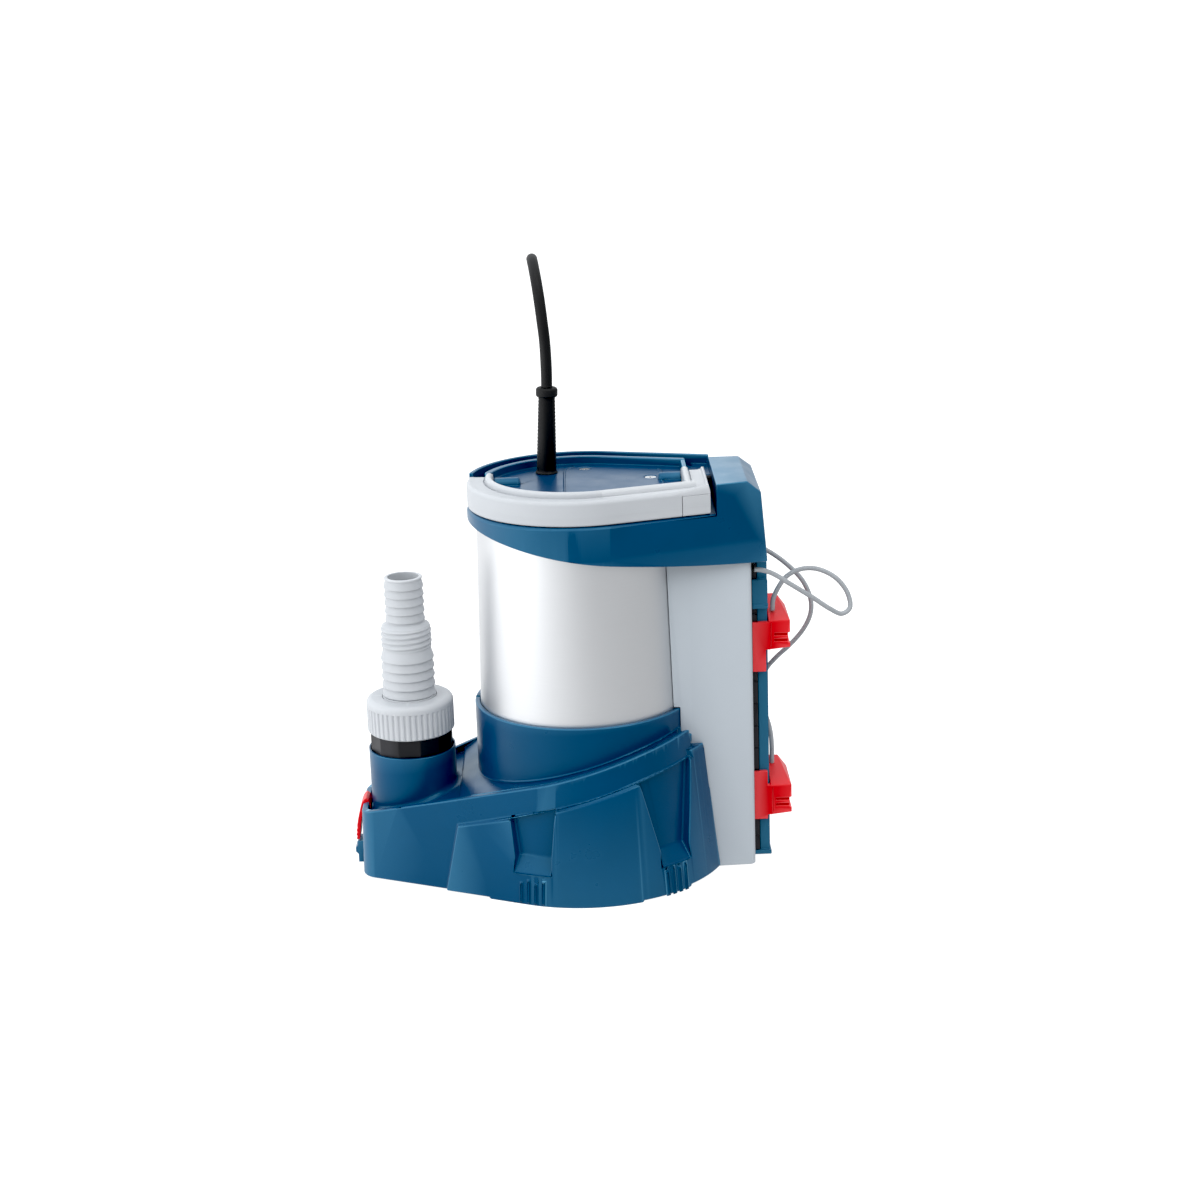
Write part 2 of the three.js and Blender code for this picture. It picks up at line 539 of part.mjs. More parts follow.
/** Blue rail that the level probes slide on, with a foot and an upper bracket. */
function buildSensorRail() {
  let rail = box(RAIL_X0, RAIL_X1, -RAIL_Y, RAIL_Y, 2, 205);
  rail = rail.add(box(STRIP_X0 + 0.4, RAIL_X1 + 0.9, -RAIL_Y - 2.4, RAIL_Y + 2.4, 1, 4 - GAP));
  // upper bracket reaches past both sides of the strip
  for (const side of [-1, 1]) {
    const y0 = side < 0 ? -RAIL_Y - 4.4 : RAIL_Y - 1;
    const y1 = side < 0 ? -RAIL_Y + 1 : RAIL_Y + 4.4;
    rail = rail.add(box(RAIL_X0 - 3.6, RAIL_X1, side < 0 ? y0 : RAIL_Y + 1.8, side < 0 ? -RAIL_Y - 1.8 : y1, 176, 194));
    rail = rail.add(box(RAIL_X0, RAIL_X1, y0, y1, 176, 194));
    rail = rail.add(box(RAIL_X0 - 3.6, RAIL_X1 + 0.1, side < 0 ? y0 - 0.8 : RAIL_Y + 1.8,
      side < 0 ? -RAIL_Y - 1.8 : y1 + 0.8, 174.6, 177.6));
  }
  // shallow groove down the outside
  return rail.subtract(box(RAIL_X1 - 1.6, RAIL_X1 + 3, -6, 6, 8, 170));
}

// ---------------------------------------------------------------- level probes
const CONTACT_X = 130;
const CONTACT_Y = [-10, 10];

/** Red probe: cheeks that clasp the rail and a block that holds the contacts. */
function buildProbe(cheekZ0, cheekZ1, blockZ0, blockZ1, stepZ0, stepZ1) {
  const cheekX0 = STRIP_X0 + 0.6;
  const cheekX1 = 121;
  let probe = Manifold.hull([
    [RAIL_X1 + 0.5, -PROBE_Y, blockZ0], [RAIL_X1 + 0.5, PROBE_Y, blockZ0],
    [PROBE_X1, -PROBE_Y, blockZ0 + 1.5], [PROBE_X1, PROBE_Y, blockZ0 + 1.5],
    [RAIL_X1 + 0.5, -PROBE_Y, blockZ1], [PROBE_X1, -PROBE_Y, blockZ1],
    [RAIL_X1 + 0.5, PROBE_Y - 4, blockZ1 + 9], [PROBE_X1 - 6, PROBE_Y - 4, blockZ1 + 9],
    [RAIL_X1 + 0.5, PROBE_Y, blockZ1 + 8], [PROBE_X1 - 6, PROBE_Y, blockZ1 + 8],
    [PROBE_X1, PROBE_Y, blockZ1],
  ]);
  for (const side of [-1, 1]) {
    const y0 = side < 0 ? -PROBE_Y : RAIL_Y + GAP;
    const y1 = side < 0 ? -RAIL_Y - GAP : PROBE_Y;
    probe = probe.add(box(RAIL_X0, RAIL_X1 + 1, y0, y1, stepZ0, stepZ1));
    probe = probe.add(box(cheekX0, RAIL_X0 + 1, side < 0 ? y0 : RAIL_Y + 1.8, side < 0 ? -RAIL_Y - 1.8 : y1, cheekZ0, cheekZ1));
    probe = probe.add(box(RAIL_X0, cheekX1, y0, y1, cheekZ0, cheekZ1));
  }
  // two finger slots in each side and a notch in the outer face
  const midZ = (blockZ0 + blockZ1) / 2;
  for (const side of [-1, 1]) {
    for (const z of [midZ - 4.6, midZ - 0.6]) {
      const y0 = side < 0 ? -PROBE_Y - 1 : PROBE_Y - 2.2;
      probe = probe.subtract(box(126.5, PROBE_X1 + 1, y0, y0 + 3.2, z, z + 1.9));
    }
  }
  for (const y of CONTACT_Y) probe = probe.subtract(rod(CONTACT_X, y, blockZ0 - 6, blockZ0 + 6.3, 1.5 + GAP / 2));
  probe = probe.subtract(box(PROBE_X1 - 1.2, PROBE_X1 + 1, -PROBE_Y - 1, PROBE_Y + 1, midZ - 5.4, midZ + 1.6));
  return probe;
}

/** Steel contact, flush with the underside of a probe. */
const buildContactPin = (y, blockZ0) => rod(CONTACT_X, y, blockZ0 + 1, blockZ0 + 6, 1.5);

// ---------------------------------------------------------------- discharge side
const FLAP_Z = 69.8;
const FLAP_PIN = [OUTLET_X + 12.4, FLAP_Z + 2.4];

/** Black faceted nipple that screws onto the casing outlet. */
function buildNipple() {
  const facets = 12;
  let nipple = Manifold.cylinder(14, 27.8, 27.8, facets).rotate([0, 0, 15]).translate([OUTLET_X, 0, 80]);
  nipple = nipple.add(rod(OUTLET_X, 0, 60, 81, 24)).add(rod(OUTLET_X, 0, 92, 110, 23.4, 23.4, 24));
  nipple = nipple.subtract(rod(OUTLET_X, 0, 50, 66.3, 20.3, 20.3, 24));
  nipple = nipple.subtract(rod(OUTLET_X, 0, 50, 120, 11.5));
  nipple = nipple.subtract(rod(OUTLET_X, 0, FLAP_Z - GAP, 120, 15.5));
  return nipple.subtract(rodY(FLAP_PIN[0], -17.5, 17.5, FLAP_PIN[1], 0.8 + GAP / 2, 16));
}

const NUT_Z0 = 94.3;
const NUT_Z1 = 118;
/** Knurled union nut that clamps the hose tail on the nipple. */
function buildUnionNut() {
  let nut = rod(OUTLET_X, 0, NUT_Z0, 113, 28.9, 28.9, 24);
  nut = nut.add(turned(OUTLET_X, 0, [
    [0, 112], [29, 112], [29, 115], [28, 116.8], [26, NUT_Z1], [0, NUT_Z1],
  ], 24));
  nut = nut.subtract(rod(OUTLET_X, 0, 80, 114.9, 23.8, 23.8, 24));
  return nut.subtract(rod(OUTLET_X, 0, 80, 130, 18.2, 18.2, 24));
}

const HOSE_Z1 = 200;
/** Grey stepped hose tail: wide barb, threaded collar and narrow barb. */
function buildHoseTail() {
  const outside = [[13.8, 111.9], [22.6, 111.9], [22.6, 114.6], [16.2, 114.6], [16.2, 119]];
  for (let i = 0; i < 5; i += 1) {
    const z = 119 + i * 6.2;
    outside.push([17.7, z], [16.2, z + 5.6]);
  }
  outside.push([16, 150.6], [16.8, 151.4], [16.8, 166.4], [12.2, 168.6]);
  for (let i = 0; i < 5; i += 1) {
    const z = 170.4 + i * 5.6;
    outside.push([13.2, z], [12.1, z + 5]);
  }
  outside.push([12.6, 198.8], [12.2, HOSE_Z1], [10.3, HOSE_Z1], [10.3, 167], [13.8, 160]);
  return turned(OUTLET_X, 0, outside, 16);
}

const buildGasket = () => tube(OUTLET_X, 0, 110.3, 111.6, 22.4, 16, 24);

/** Rubber flap that stops water running back, hung inside the nipple. */
function buildCheckFlap() {
  let flap = rod(OUTLET_X, 0, FLAP_Z, FLAP_Z + 1.6, 13, 13, 40);
  flap = flap.add(rodY(FLAP_PIN[0], -4, 4, FLAP_PIN[1], 1.7, 20));
  flap = flap.add(box(OUTLET_X + 8, FLAP_PIN[0], -4, 4, FLAP_Z + 0.4, FLAP_PIN[1] + 0.4));
  return flap.subtract(rodY(FLAP_PIN[0], -5, 5, FLAP_PIN[1], 0.8 + GAP / 2, 16));
}

// ---------------------------------------------------------------- cords
class LinePath extends THREE.Curve {
  constructor(points, tension = 0.5) {
    super();
    this.inner = new THREE.CatmullRomCurve3(points.map((p) => new THREE.Vector3(...p)), false, 'centripetal', tension);
  }

  getPoint(t, target = new THREE.Vector3()) {
    return this.inner.getPoint(t, target);
  }
}

function cordGeometry(points, diameter, sides, steps) {
  const section = new THREE.Shape();
  for (let i = 0; i < sides; i += 1) {
    const a = (2 * Math.PI * i) / sides;
    const x = (diameter / 2) * Math.cos(a);
    const y = (diameter / 2) * Math.sin(a);
    if (i === 0) section.moveTo(x, y);
    else section.lineTo(x, y);
  }
  section.closePath();
  return new THREE.ExtrudeGeometry(section, {
    steps, curveSegments: 1, bevelEnabled: false, extrudePath: new LinePath(points),
  });
}

const addTube = (name, points, diameter, sides, steps, look) => (
  addSolid(name, toSolid(cordGeometry(points, diameter, sides, steps)), look));

// leads from the housing to the tops of the two probes
const LEAD_A = [
  [112.9, -29, 204], [118, -29, 203.4], [125, -27.5, 200.5], [137, -24.5, 192], [152, -20, 181],
  [164, -15.5, 171.5], [172, -12, 167], [177.5, -9, 170], [176.5, -6.5, 179], [169, -5, 189.5],
  [157, -4.5, 196], [146, -5, 196.6], [136.5, -6, 192.5], [130.5, -7, 185], [127, -8, 177.4],
];
const LEAD_B = [
  [112.9, 29, 206], [118, 29, 205.2], [127.5, 28.6, 200.5], [140, 27.6, 191], [150.5, 26.6, 179],
  [155.4, 25.6, 166], [154.8, 25, 156], [149.6, 24.6, 145.6], [140.5, 24.2, 135.4], [131.5, 23.8, 127.4],
  [124.6, 23.4, 119.5], [120.8, 23.1, 110], [120, 22.9, 101], [121.4, 22.2, 92], [124.6, 19.2, 84],
  [126.2, 13.8, 76.4], [126.4, 9, 69], [126.2, 7, 61.5],
];

// mains cord: straight out of the boot, over and down behind the pump, then into its coil
const COIL_X = 22;
const COIL_Y = 196;
const COIL_R = 66;               // middle of the turns
const COIL_HALF = 19;            // half of the width and of the height of the bundle
const COIL_Z = COIL_HALF + 1;
const CORD_ROUTE = [
  [-17.25, 36, 316.3], [-17, 36, 326], [-17.4, 36, 345], [-18.8, 36, 361.5], [-20.7, 40.6, 378.8],
  [-22.8, 53.3, 391.4], [-24.2, 70.5, 396], [-24.1, 87.8, 391.4], [-22.4, 100.4, 378.8], [-20.4, 105, 361.5],
  [-18.6, 105, 340], [-18, 105, 320], [-18.2, 105, 300], [-19.6, 105.5, 265], [-22, 106, 230], [-28, 107.5, 180],
  [-38, 111, 120], [-48, 115, 70], [-55, 121, 36], [-58.4, 133, 14], [-59, 147, 6], [-59, 159.6, 4.9],
];

/** Tapered strain relief with a ring at its top and a neck in the cover; heights from the deck. */
function buildCableBoot() {
  const boot = turned(0, 0, [
    [0, -7], [4, -7], [4, GAP], [6.65, GAP], [5.5, BOOT_H - 6], [6.6, BOOT_H - 6], [7.2, BOOT_H - 5],
    [7.2, BOOT_H - 1], [6.6, BOOT_H], [0, BOOT_H],
  ], 20);
  return boot.rotate([0, BOOT_LEAN, 0]).translate([BOOT_X, BOOT_Y, DECK_Z]);
}

const buildCordCoil = () => turned(COIL_X, COIL_Y, [
  [COIL_R - COIL_HALF, COIL_Z - COIL_HALF + 4], [COIL_R - COIL_HALF + 4, COIL_Z - COIL_HALF],
  [COIL_R + COIL_HALF - 4, COIL_Z - COIL_HALF], [COIL_R + COIL_HALF, COIL_Z - COIL_HALF + 4],
  [COIL_R + COIL_HALF, COIL_Z + COIL_HALF - 4], [COIL_R + COIL_HALF - 4, COIL_Z + COIL_HALF],
  [COIL_R - COIL_HALF + 4, COIL_Z + COIL_HALF], [COIL_R - COIL_HALF, COIL_Z + COIL_HALF - 4],
], 24);

// plug: lies along X on the far side of the coil
const PLUG_Y = COIL_Y + COIL_R;
const PLUG_Z = COIL_Z + COIL_HALF + GAP + 19;
const PLUG_X0 = 6;
const lyingAlongX = (solid) => solid.rotate([0, 90, 0]).translate([PLUG_X0, PLUG_Y, PLUG_Z]);

function buildPlug() {
  let plug = turned(0, 0, [
    [0, 0], [5.2, 0], [6.4, 12], [9, 22], [15.5, 30], [17.4, 36], [19, 40], [19, 53], [18.2, 54], [0, 54],
  ], 18);
  for (const y of [-9.5, 9.5]) plug = plug.subtract(rod(0, y, 44, 60, 2.4 + GAP / 2, 2.4 + GAP / 2, 24));
  return lyingAlongX(plug);
}

const buildPlugPin = (y) => lyingAlongX(turned(0, y, [
  [0, 44 + GAP], [2.4, 44 + GAP], [2.4, 71.4], [1.4, 73], [0, 73],
], 24));

// ---------------------------------------------------------------- assembly
addSolid('base_shell', buildBaseShell(), BLUE);
addSolid('strainer_plate', buildStrainerPlate(), BLUE);
addSolid('base_latch', buildLatch(), RED);
addSolid('latch_pin', rodY(LATCH_PIN[0], -LATCH_Y - 3.6, LATCH_Y + 3.6, LATCH_PIN[1], 1.2, 20), STEEL);

addSolid('volute_casing', buildVoluteCasing(), BLACK);
addSolid('wear_plate', buildWearPlate(), BLACK);
addSolid('impeller', buildImpeller(), GREY);
addSolid('impeller_nut', rod(0, 0, 17, 23.2, 7, 7, 6).subtract(rod(0, 0, 16, 24, 4.05)), STEEL);
addSolid('motor_shaft', buildShaft(), DARK_STEEL);
addSolid('motor_can', buildMotorCan(), DARK_STEEL);
addSolid('bearing_bracket', buildBearingBracket(), DARK_STEEL);
addSolid('stator_core', buildStator(), DARK_STEEL);
addSolid('winding_lower', buildWinding(87, 99.7), COPPER);
addSolid('winding_upper', buildWinding(158.3, 173), COPPER);
addSolid('rotor_core', buildRotor(), STEEL);
addSolid('bearing_lower', buildBearing(72.3), STEEL);
addSolid('bearing_upper', buildBearing(182.6), STEEL);
addSolid('seal_seat', tube(0, 0, 62.4, 67, 10.7, 7.4), CERAMIC);
addSolid('seal_head', tube(0, 0, 42, 59.6, 10.5, 5.2), STEEL);

addSolid('barrel_jacket', buildBarrel(), STEEL);
addSolid('top_cover', buildTopCover(), BLUE);
COVER_SCREWS.forEach(([x, y], i) => addSolid(`cover_screw_${i + 1}`, buildCoverScrew(x, y), STEEL));

const handle = buildHandleSolid();
addSolid('carrying_handle', handle.subtract(capBlock(GAP)), GREY);
addSolid('handle_end_cap', handle.intersect(capBlock(0)), GREY);
addSolid('handle_pin_left', rodX(-69, -38.8, PIVOT_Y, PIVOT_Z, PIVOT_R), BLACK);
addSolid('handle_pin_right', rodX(56, HOOD_X0 + 1.6, PIVOT_Y, PIVOT_Z, PIVOT_R), BLACK);

addSolid('rear_housing', buildRearHousing(), HOUSING_GREY);
addSolid('control_board', box(105.4, 107, -28, 28, 92, 190), BOARD_GREEN);
addSolid('run_capacitor', rod(92, 0, 55, 128, 11.4), BLACK);
addSolid('level_relay', box(88, 105.1, -11, 11, 140, 158), BLACK);
addSolid('terminal_block', box(84, 104, -20, 20, 206, 220), GREY);
addSolid('guide_strip', buildGuideStrip(), BLACK);
addSolid('sensor_rail', buildSensorRail(), BLUE);

addSolid('upper_probe', buildProbe(131, 165, 146, 166, 146, 165), RED);
addSolid('lower_probe', buildProbe(27, 61, 30, 51, 30, 51), RED);
for (const [name, z] of [['upper', 146], ['lower', 30]]) {
  addSolid(`${name}_probe_contact_near`, buildContactPin(CONTACT_Y[0], z), STEEL);
  addSolid(`${name}_probe_contact_far`, buildContactPin(CONTACT_Y[1], z), STEEL);
}
for (const [name, [y, z]] of [['upper', LEAD_A_EXIT], ['lower', LEAD_B_EXIT]]) {
  addSolid(`${name}_lead_gland`, rodX(HOUSING_X - 2.4, HOUSING_X + 1.6, y, z, LEAD_GLAND_R), BLACK);
}
addTube('upper_probe_lead', LEAD_A, LEAD_D, 8, 20, LEAD_GREY);
addTube('lower_probe_lead', LEAD_B, LEAD_D, 8, 18, LEAD_GREY);

addSolid('discharge_nipple', buildNipple(), BLACK);
addSolid('union_nut', buildUnionNut(), GREY);
addSolid('hose_tail', buildHoseTail(), GREY);
addSolid('nut_gasket', buildGasket(), BLACK);
addSolid('check_flap', buildCheckFlap(), BLACK);
addSolid('flap_pin', rodY(FLAP_PIN[0], -8.6, 8.6, FLAP_PIN[1], 0.8, 16), STEEL);

addSolid('cable_boot', buildCableBoot(), BLACK);
addTube('power_cord', CORD_ROUTE, CORD_D, 8, 30, BLACK);
addSolid('cord_coil', buildCordCoil(), BLACK);
addSolid('mains_plug', buildPlug(), BLACK);
addSolid('plug_pin_left', buildPlugPin(-9.5), BRASS);
addSolid('plug_pin_right', buildPlugPin(9.5), BRASS);

export default group;
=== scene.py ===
"""Looks of a submersible sump pump: refined pieces, materials, studio light and camera.

A piece is shaped in millimetres from the motor axis, then placed in the frame, which is in metres.
X runs from the discharge nose to the level probes, and Z is up.
"""
import math

import bmesh
import bpy
from mathutils import Matrix, Vector


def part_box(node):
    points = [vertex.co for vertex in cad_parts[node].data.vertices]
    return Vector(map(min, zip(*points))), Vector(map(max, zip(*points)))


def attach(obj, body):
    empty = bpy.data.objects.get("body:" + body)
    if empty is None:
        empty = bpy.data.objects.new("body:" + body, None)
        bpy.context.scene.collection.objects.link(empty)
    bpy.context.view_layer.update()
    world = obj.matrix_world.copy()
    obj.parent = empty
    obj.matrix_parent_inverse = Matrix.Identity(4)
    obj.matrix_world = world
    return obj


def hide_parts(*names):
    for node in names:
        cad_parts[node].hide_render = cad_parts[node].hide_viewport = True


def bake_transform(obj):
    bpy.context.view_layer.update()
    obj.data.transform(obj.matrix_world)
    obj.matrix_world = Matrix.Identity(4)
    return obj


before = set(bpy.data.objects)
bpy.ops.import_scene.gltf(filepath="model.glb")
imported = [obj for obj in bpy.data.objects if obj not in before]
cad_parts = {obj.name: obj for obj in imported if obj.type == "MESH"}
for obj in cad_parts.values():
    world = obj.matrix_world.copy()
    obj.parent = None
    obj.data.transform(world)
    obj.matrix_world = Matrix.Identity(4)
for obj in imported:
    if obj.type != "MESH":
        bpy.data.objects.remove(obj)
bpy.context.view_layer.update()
scene = bpy.context.scene

MM = 0.001
AXIS_X = sum(corner.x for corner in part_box("motor_shaft")) / 2


def extent(node):
    """Lowest and highest corner of a CAD node, in millimetres from the motor axis."""
    shift = Vector((AXIS_X, 0, 0))
    return [(corner - shift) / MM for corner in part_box(node)]


def centre(node):
    """Middle of a CAD node, in millimetres from the motor axis."""
    low, high = extent(node)
    return [(a + b) / 2 for a, b in zip(low, high)]


def to_frame(point):
    """A point in millimetres from the motor axis, as metres in the frame."""
    return Vector((AXIS_X + point[0] * MM, point[1] * MM, point[2] * MM))


# ---- driving dimensions
GAP = 0.3  # between neighbouring pieces
OUTLET_X = centre("hose_tail")[0]

BASE_R = 93
BASE_TOP = 118  # above every edge of the base
BASE_WALL = 4
BASE_DRAFT = 0.105
NOSE_R = 14
NOSE_X = -152
NOSE_Y = 36
EDGE_Z0 = 86.6
EDGE_SLOPE = 0.276
DECK_DROP = 6
EDGE_SAG = 0.0012  # how fast the sweeping edge flattens behind SAG_X
SAG_X = 20
PANEL_DROP = 16.5
PANEL_LIFT = 2.5
NOTCH_Y = 46.5  # the wall is cut down to NOTCH_Z beside the rear housing
NOTCH_Z = 90

LATCH_X = -148.9  # pin that the latch turns on
LATCH_Z = 42
LATCH_HOLE_R = 1.35

BARREL_LOW, BARREL_HIGH = extent("barrel_jacket")
BARREL_R = 69
BARREL_TAPER = 0.022
COLLAR_R = 72.6
COLLAR_Z = 114
SLEEVE_R = 29
SLEEVE_Z = 82.5

HOUSING_LOW, HOUSING_HIGH = extent("rear_housing")
HOUSING_X = HOUSING_HIGH.x
HOUSING_Y = 37

COVER_R = 72
COVER_X = 122
COVER_Y = 39
LEDGE_Z = 246.4
DECK_Z = 258
RIM_Z = 264.6
TOP_Z = 265.8
HANDLE_W = 17
HANDLE_Z0 = 246.8
HANDLE_Z1 = 263.4
HANDLE_END_X = 84.8
HOOD_X0 = 88.3
HOOD_FOOT = 196  # bottom of the hood and of the side band
PIVOT_Y = 6
PIVOT_Z = 257.5
PIVOT_HOLE_R = 1.95

STRIP_X0 = 111.3
RAIL_X0 = 115.8
RAIL_X1 = 122.4
RAIL_Y = 15
PROBE_Y = 19
PROBE_X1 = 137

CORD_D = 7.5
BOOT_X = -19.5
BOOT_Y = 36
BOOT_H = 58
BOOT_LEAN = math.radians(2.2)
LEAD_D = 3.2


# ---- shaping helpers
def new_object(name, data):
    obj = bpy.data.objects.new(name, data)
    scene.collection.objects.link(obj)
    return obj


def from_faces(points, faces):
    """Closed solid from its corner points and faces."""
    mesh = bpy.data.meshes.new("part")
    mesh.from_pydata(points, [], faces)
    bm = bmesh.new()
    bm.from_mesh(mesh)
    bmesh.ops.recalc_face_normals(bm, faces=bm.faces)
    bm.to_mesh(mesh)
    bm.free()
    return new_object("part", mesh)


def hull(points):
    """Smallest convex solid around the points."""
    bm = bmesh.new()
    for point in points:
        bm.verts.new(point)
    bmesh.ops.convex_hull(bm, input=bm.verts)
    loose = [v for v in bm.verts if not v.link_faces]
    bmesh.ops.delete(bm, geom=loose, context="VERTS")
    bmesh.ops.dissolve_limit(bm, angle_limit=math.radians(0.05), verts=bm.verts, edges=bm.edges)
    bmesh.ops.recalc_face_normals(bm, faces=bm.faces)
    mesh = bpy.data.meshes.new("part")
    bm.to_mesh(mesh)
    bm.free()
    return new_object("part", mesh)


def lofted(rows):
    """Solid through closed loops of points, all of the same length, capped at both ends."""
    count = len(rows[0])
    points = [point for row in rows for point in row]
    faces = [list(range(count)), list(range(len(points) - count, len(points)))]
    for first in range(0, len(points) - count, count):
        for k in range(count):
            m = (k + 1) % count
            faces.append([first + k, first + m, first + count + m, first + count + k])
    return from_faces(points, faces)


def prism(outline, low, high, axis="Z"):
    """Straight block on a closed outline, which lies in XY for axis Z and in XZ for axis Y."""
    if axis == "Y":
        return lofted([[(a, c, b) for a, b in outline] for c in (low, high)])
    return lofted([[(a, b, c) for a, b in outline] for c in (low, high)])


def box(x0, x1, y0, y1, z0, z1):
    return prism([(x0, y0), (x1, y0), (x1, y1), (x0, y1)], z0, z1)


def arc(x, y, r, first, last, steps):
    """Points on an arc from one angle to another, in degrees."""
    angles = [math.radians(first + (last - first) * i / steps) for i in range(steps + 1)]
    return [(x + r * math.cos(a), y + r * math.sin(a)) for a in angles]


def circle(x, y, r, sides):
    return arc(x, y, r, 0, 360 - 360 / sides, sides - 1)


def turned(x, y, profile, sides=96, axis="Z", radius_at=None):
    """Turned solid on a closed profile of (radius, height); radius_at may vary a radius round the turn."""
    points = []
    rings = []
    for r, z in profile:
        count = 1 if r < 1e-6 else sides
        rings.append([len(points) + i for i in range(count)])
        for i in range(count):
            a = 2 * math.pi * i / sides
            rr = radius_at(r, z, a) if radius_at else r
            points.append((rr * math.cos(a), rr * math.sin(a), z))
    faces = []
    for low, high in zip(rings, rings[1:] + rings[:1]):
        if len(low) == 1 and len(high) == 1:
            continue
        for i in range(sides):
            j = (i + 1) % sides
            corners = [low[i % len(low)], low[j % len(low)], high[j % len(high)], high[i % len(high)]]
            faces.append(list(dict.fromkeys(corners)))
    shift, turn = {
        "Z": ((x, y, 0), Matrix()),
        "X": ((0, x, y), Matrix.Rotation(math.pi / 2, 4, "Y")),
        "Y": ((x, 0, y), Matrix.Rotation(-math.pi / 2, 4, "X")),
    }[axis]
    obj = from_faces(points, faces)
    obj.data.transform(Matrix.Translation(shift) @ turn)
    return obj


def rod(x, y, z0, z1, r0, r1=None, sides=96):
    return turned(x, y, [(0, z0), (r0, z0), (r0 if r1 is None else r1, z1), (0, z1)], sides)


def rod_x(x0, x1, y, z, r, sides=48):
    """Cylinder along X."""
    return turned(y, z, [(0, x0), (r, x0), (r, x1), (0, x1)], sides, "X")


def rod_y(x, y0, y1, z, r, sides=48):
    """Cylinder along Y."""
    return turned(x, z, [(0, y0), (r, y0), (r, y1), (0, y1)], sides, "Y")


def bake(obj):
    """Applies an object's modifiers to its mesh."""
    depsgraph = bpy.context.evaluated_depsgraph_get()
    mesh = bpy.data.meshes.new_from_object(obj.evaluated_get(depsgraph))
    obj.modifiers.clear()
    obj.data = mesh
    return obj


def combine(operation, base, tools):
    for tool in tools:
        modifier = base.modifiers.new("combine", "BOOLEAN")
        modifier.operation = operation
        modifier.solver = "MANIFOLD"
        modifier.object = tool
    bake(base)
    for tool in tools:
        bpy.data.objects.remove(tool)
    return base


def join(base, *tools):
    return combine("UNION", base, tools)


def cut(base, *tools):
    return combine("DIFFERENCE", base, tools)


def keep(base, *tools):
    return combine("INTERSECT", base, tools)


def turned_about_z(obj, degrees):
    obj.data.transform(Matrix.Rotation(math.radians(degrees), 4, "Z"))
    return obj


def mirrored_y(obj):
    obj.data.transform(Matrix.Diagonal((1, -1, 1, 1)))
    obj.data.flip_normals()
    return obj


MERGE = 0.04  # closer points become one before the edges are rounded
FLAT = math.radians(0.5)
MOST_SIDES = 8  # a face with more is split into triangles


def finish_piece(obj, name, body, material, nodes=(), edge=0.6, sharp=35):
    """Rounds a shaped solid's edges, puts it in the frame and gives it its body, slot and material."""
    obj.name = name
    bm = bmesh.new()
    bm.from_mesh(obj.data)
    bmesh.ops.remove_doubles(bm, verts=bm.verts, dist=MERGE)
    bmesh.ops.dissolve_degenerate(bm, edges=bm.edges, dist=MERGE)
    bmesh.ops.dissolve_limit(bm, angle_limit=FLAT, verts=bm.verts, edges=bm.edges)
    bmesh.ops.triangulate(bm, faces=[face for face in bm.faces if len(face.verts) > MOST_SIDES])
    bm.transform(Matrix.Translation((AXIS_X, 0, 0)) @ Matrix.Scale(MM, 4))
    for face in bm.faces:
        face.smooth = True
    bm.to_mesh(obj.data)
    bm.free()
    obj.data.set_sharp_from_angle(angle=math.radians(sharp))
    if edge:
        bevel = obj.modifiers.new("edges", "BEVEL")
        bevel.width = edge * MM
        bevel.segments = 3
        bevel.limit_method = "ANGLE"
        bevel.angle_limit = math.radians(sharp)
        bevel.use_clamp_overlap = False
        bevel.loop_slide = False
        bevel.harden_normals = True
    weighted = obj.modifiers.new("normals", "WEIGHTED_NORMAL")
    weighted.keep_sharp = True
    bake(obj)
    return dress(obj, body, material, nodes)


def dress(obj, body, material, nodes=()):
    """Gives a placed piece its material, material slot and body, and hides the CAD nodes that it stands for.
    """
    obj.data.materials.clear()
    obj.data.materials.append(material)
    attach(obj, body)
    if nodes:
        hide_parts(*nodes)
    return obj


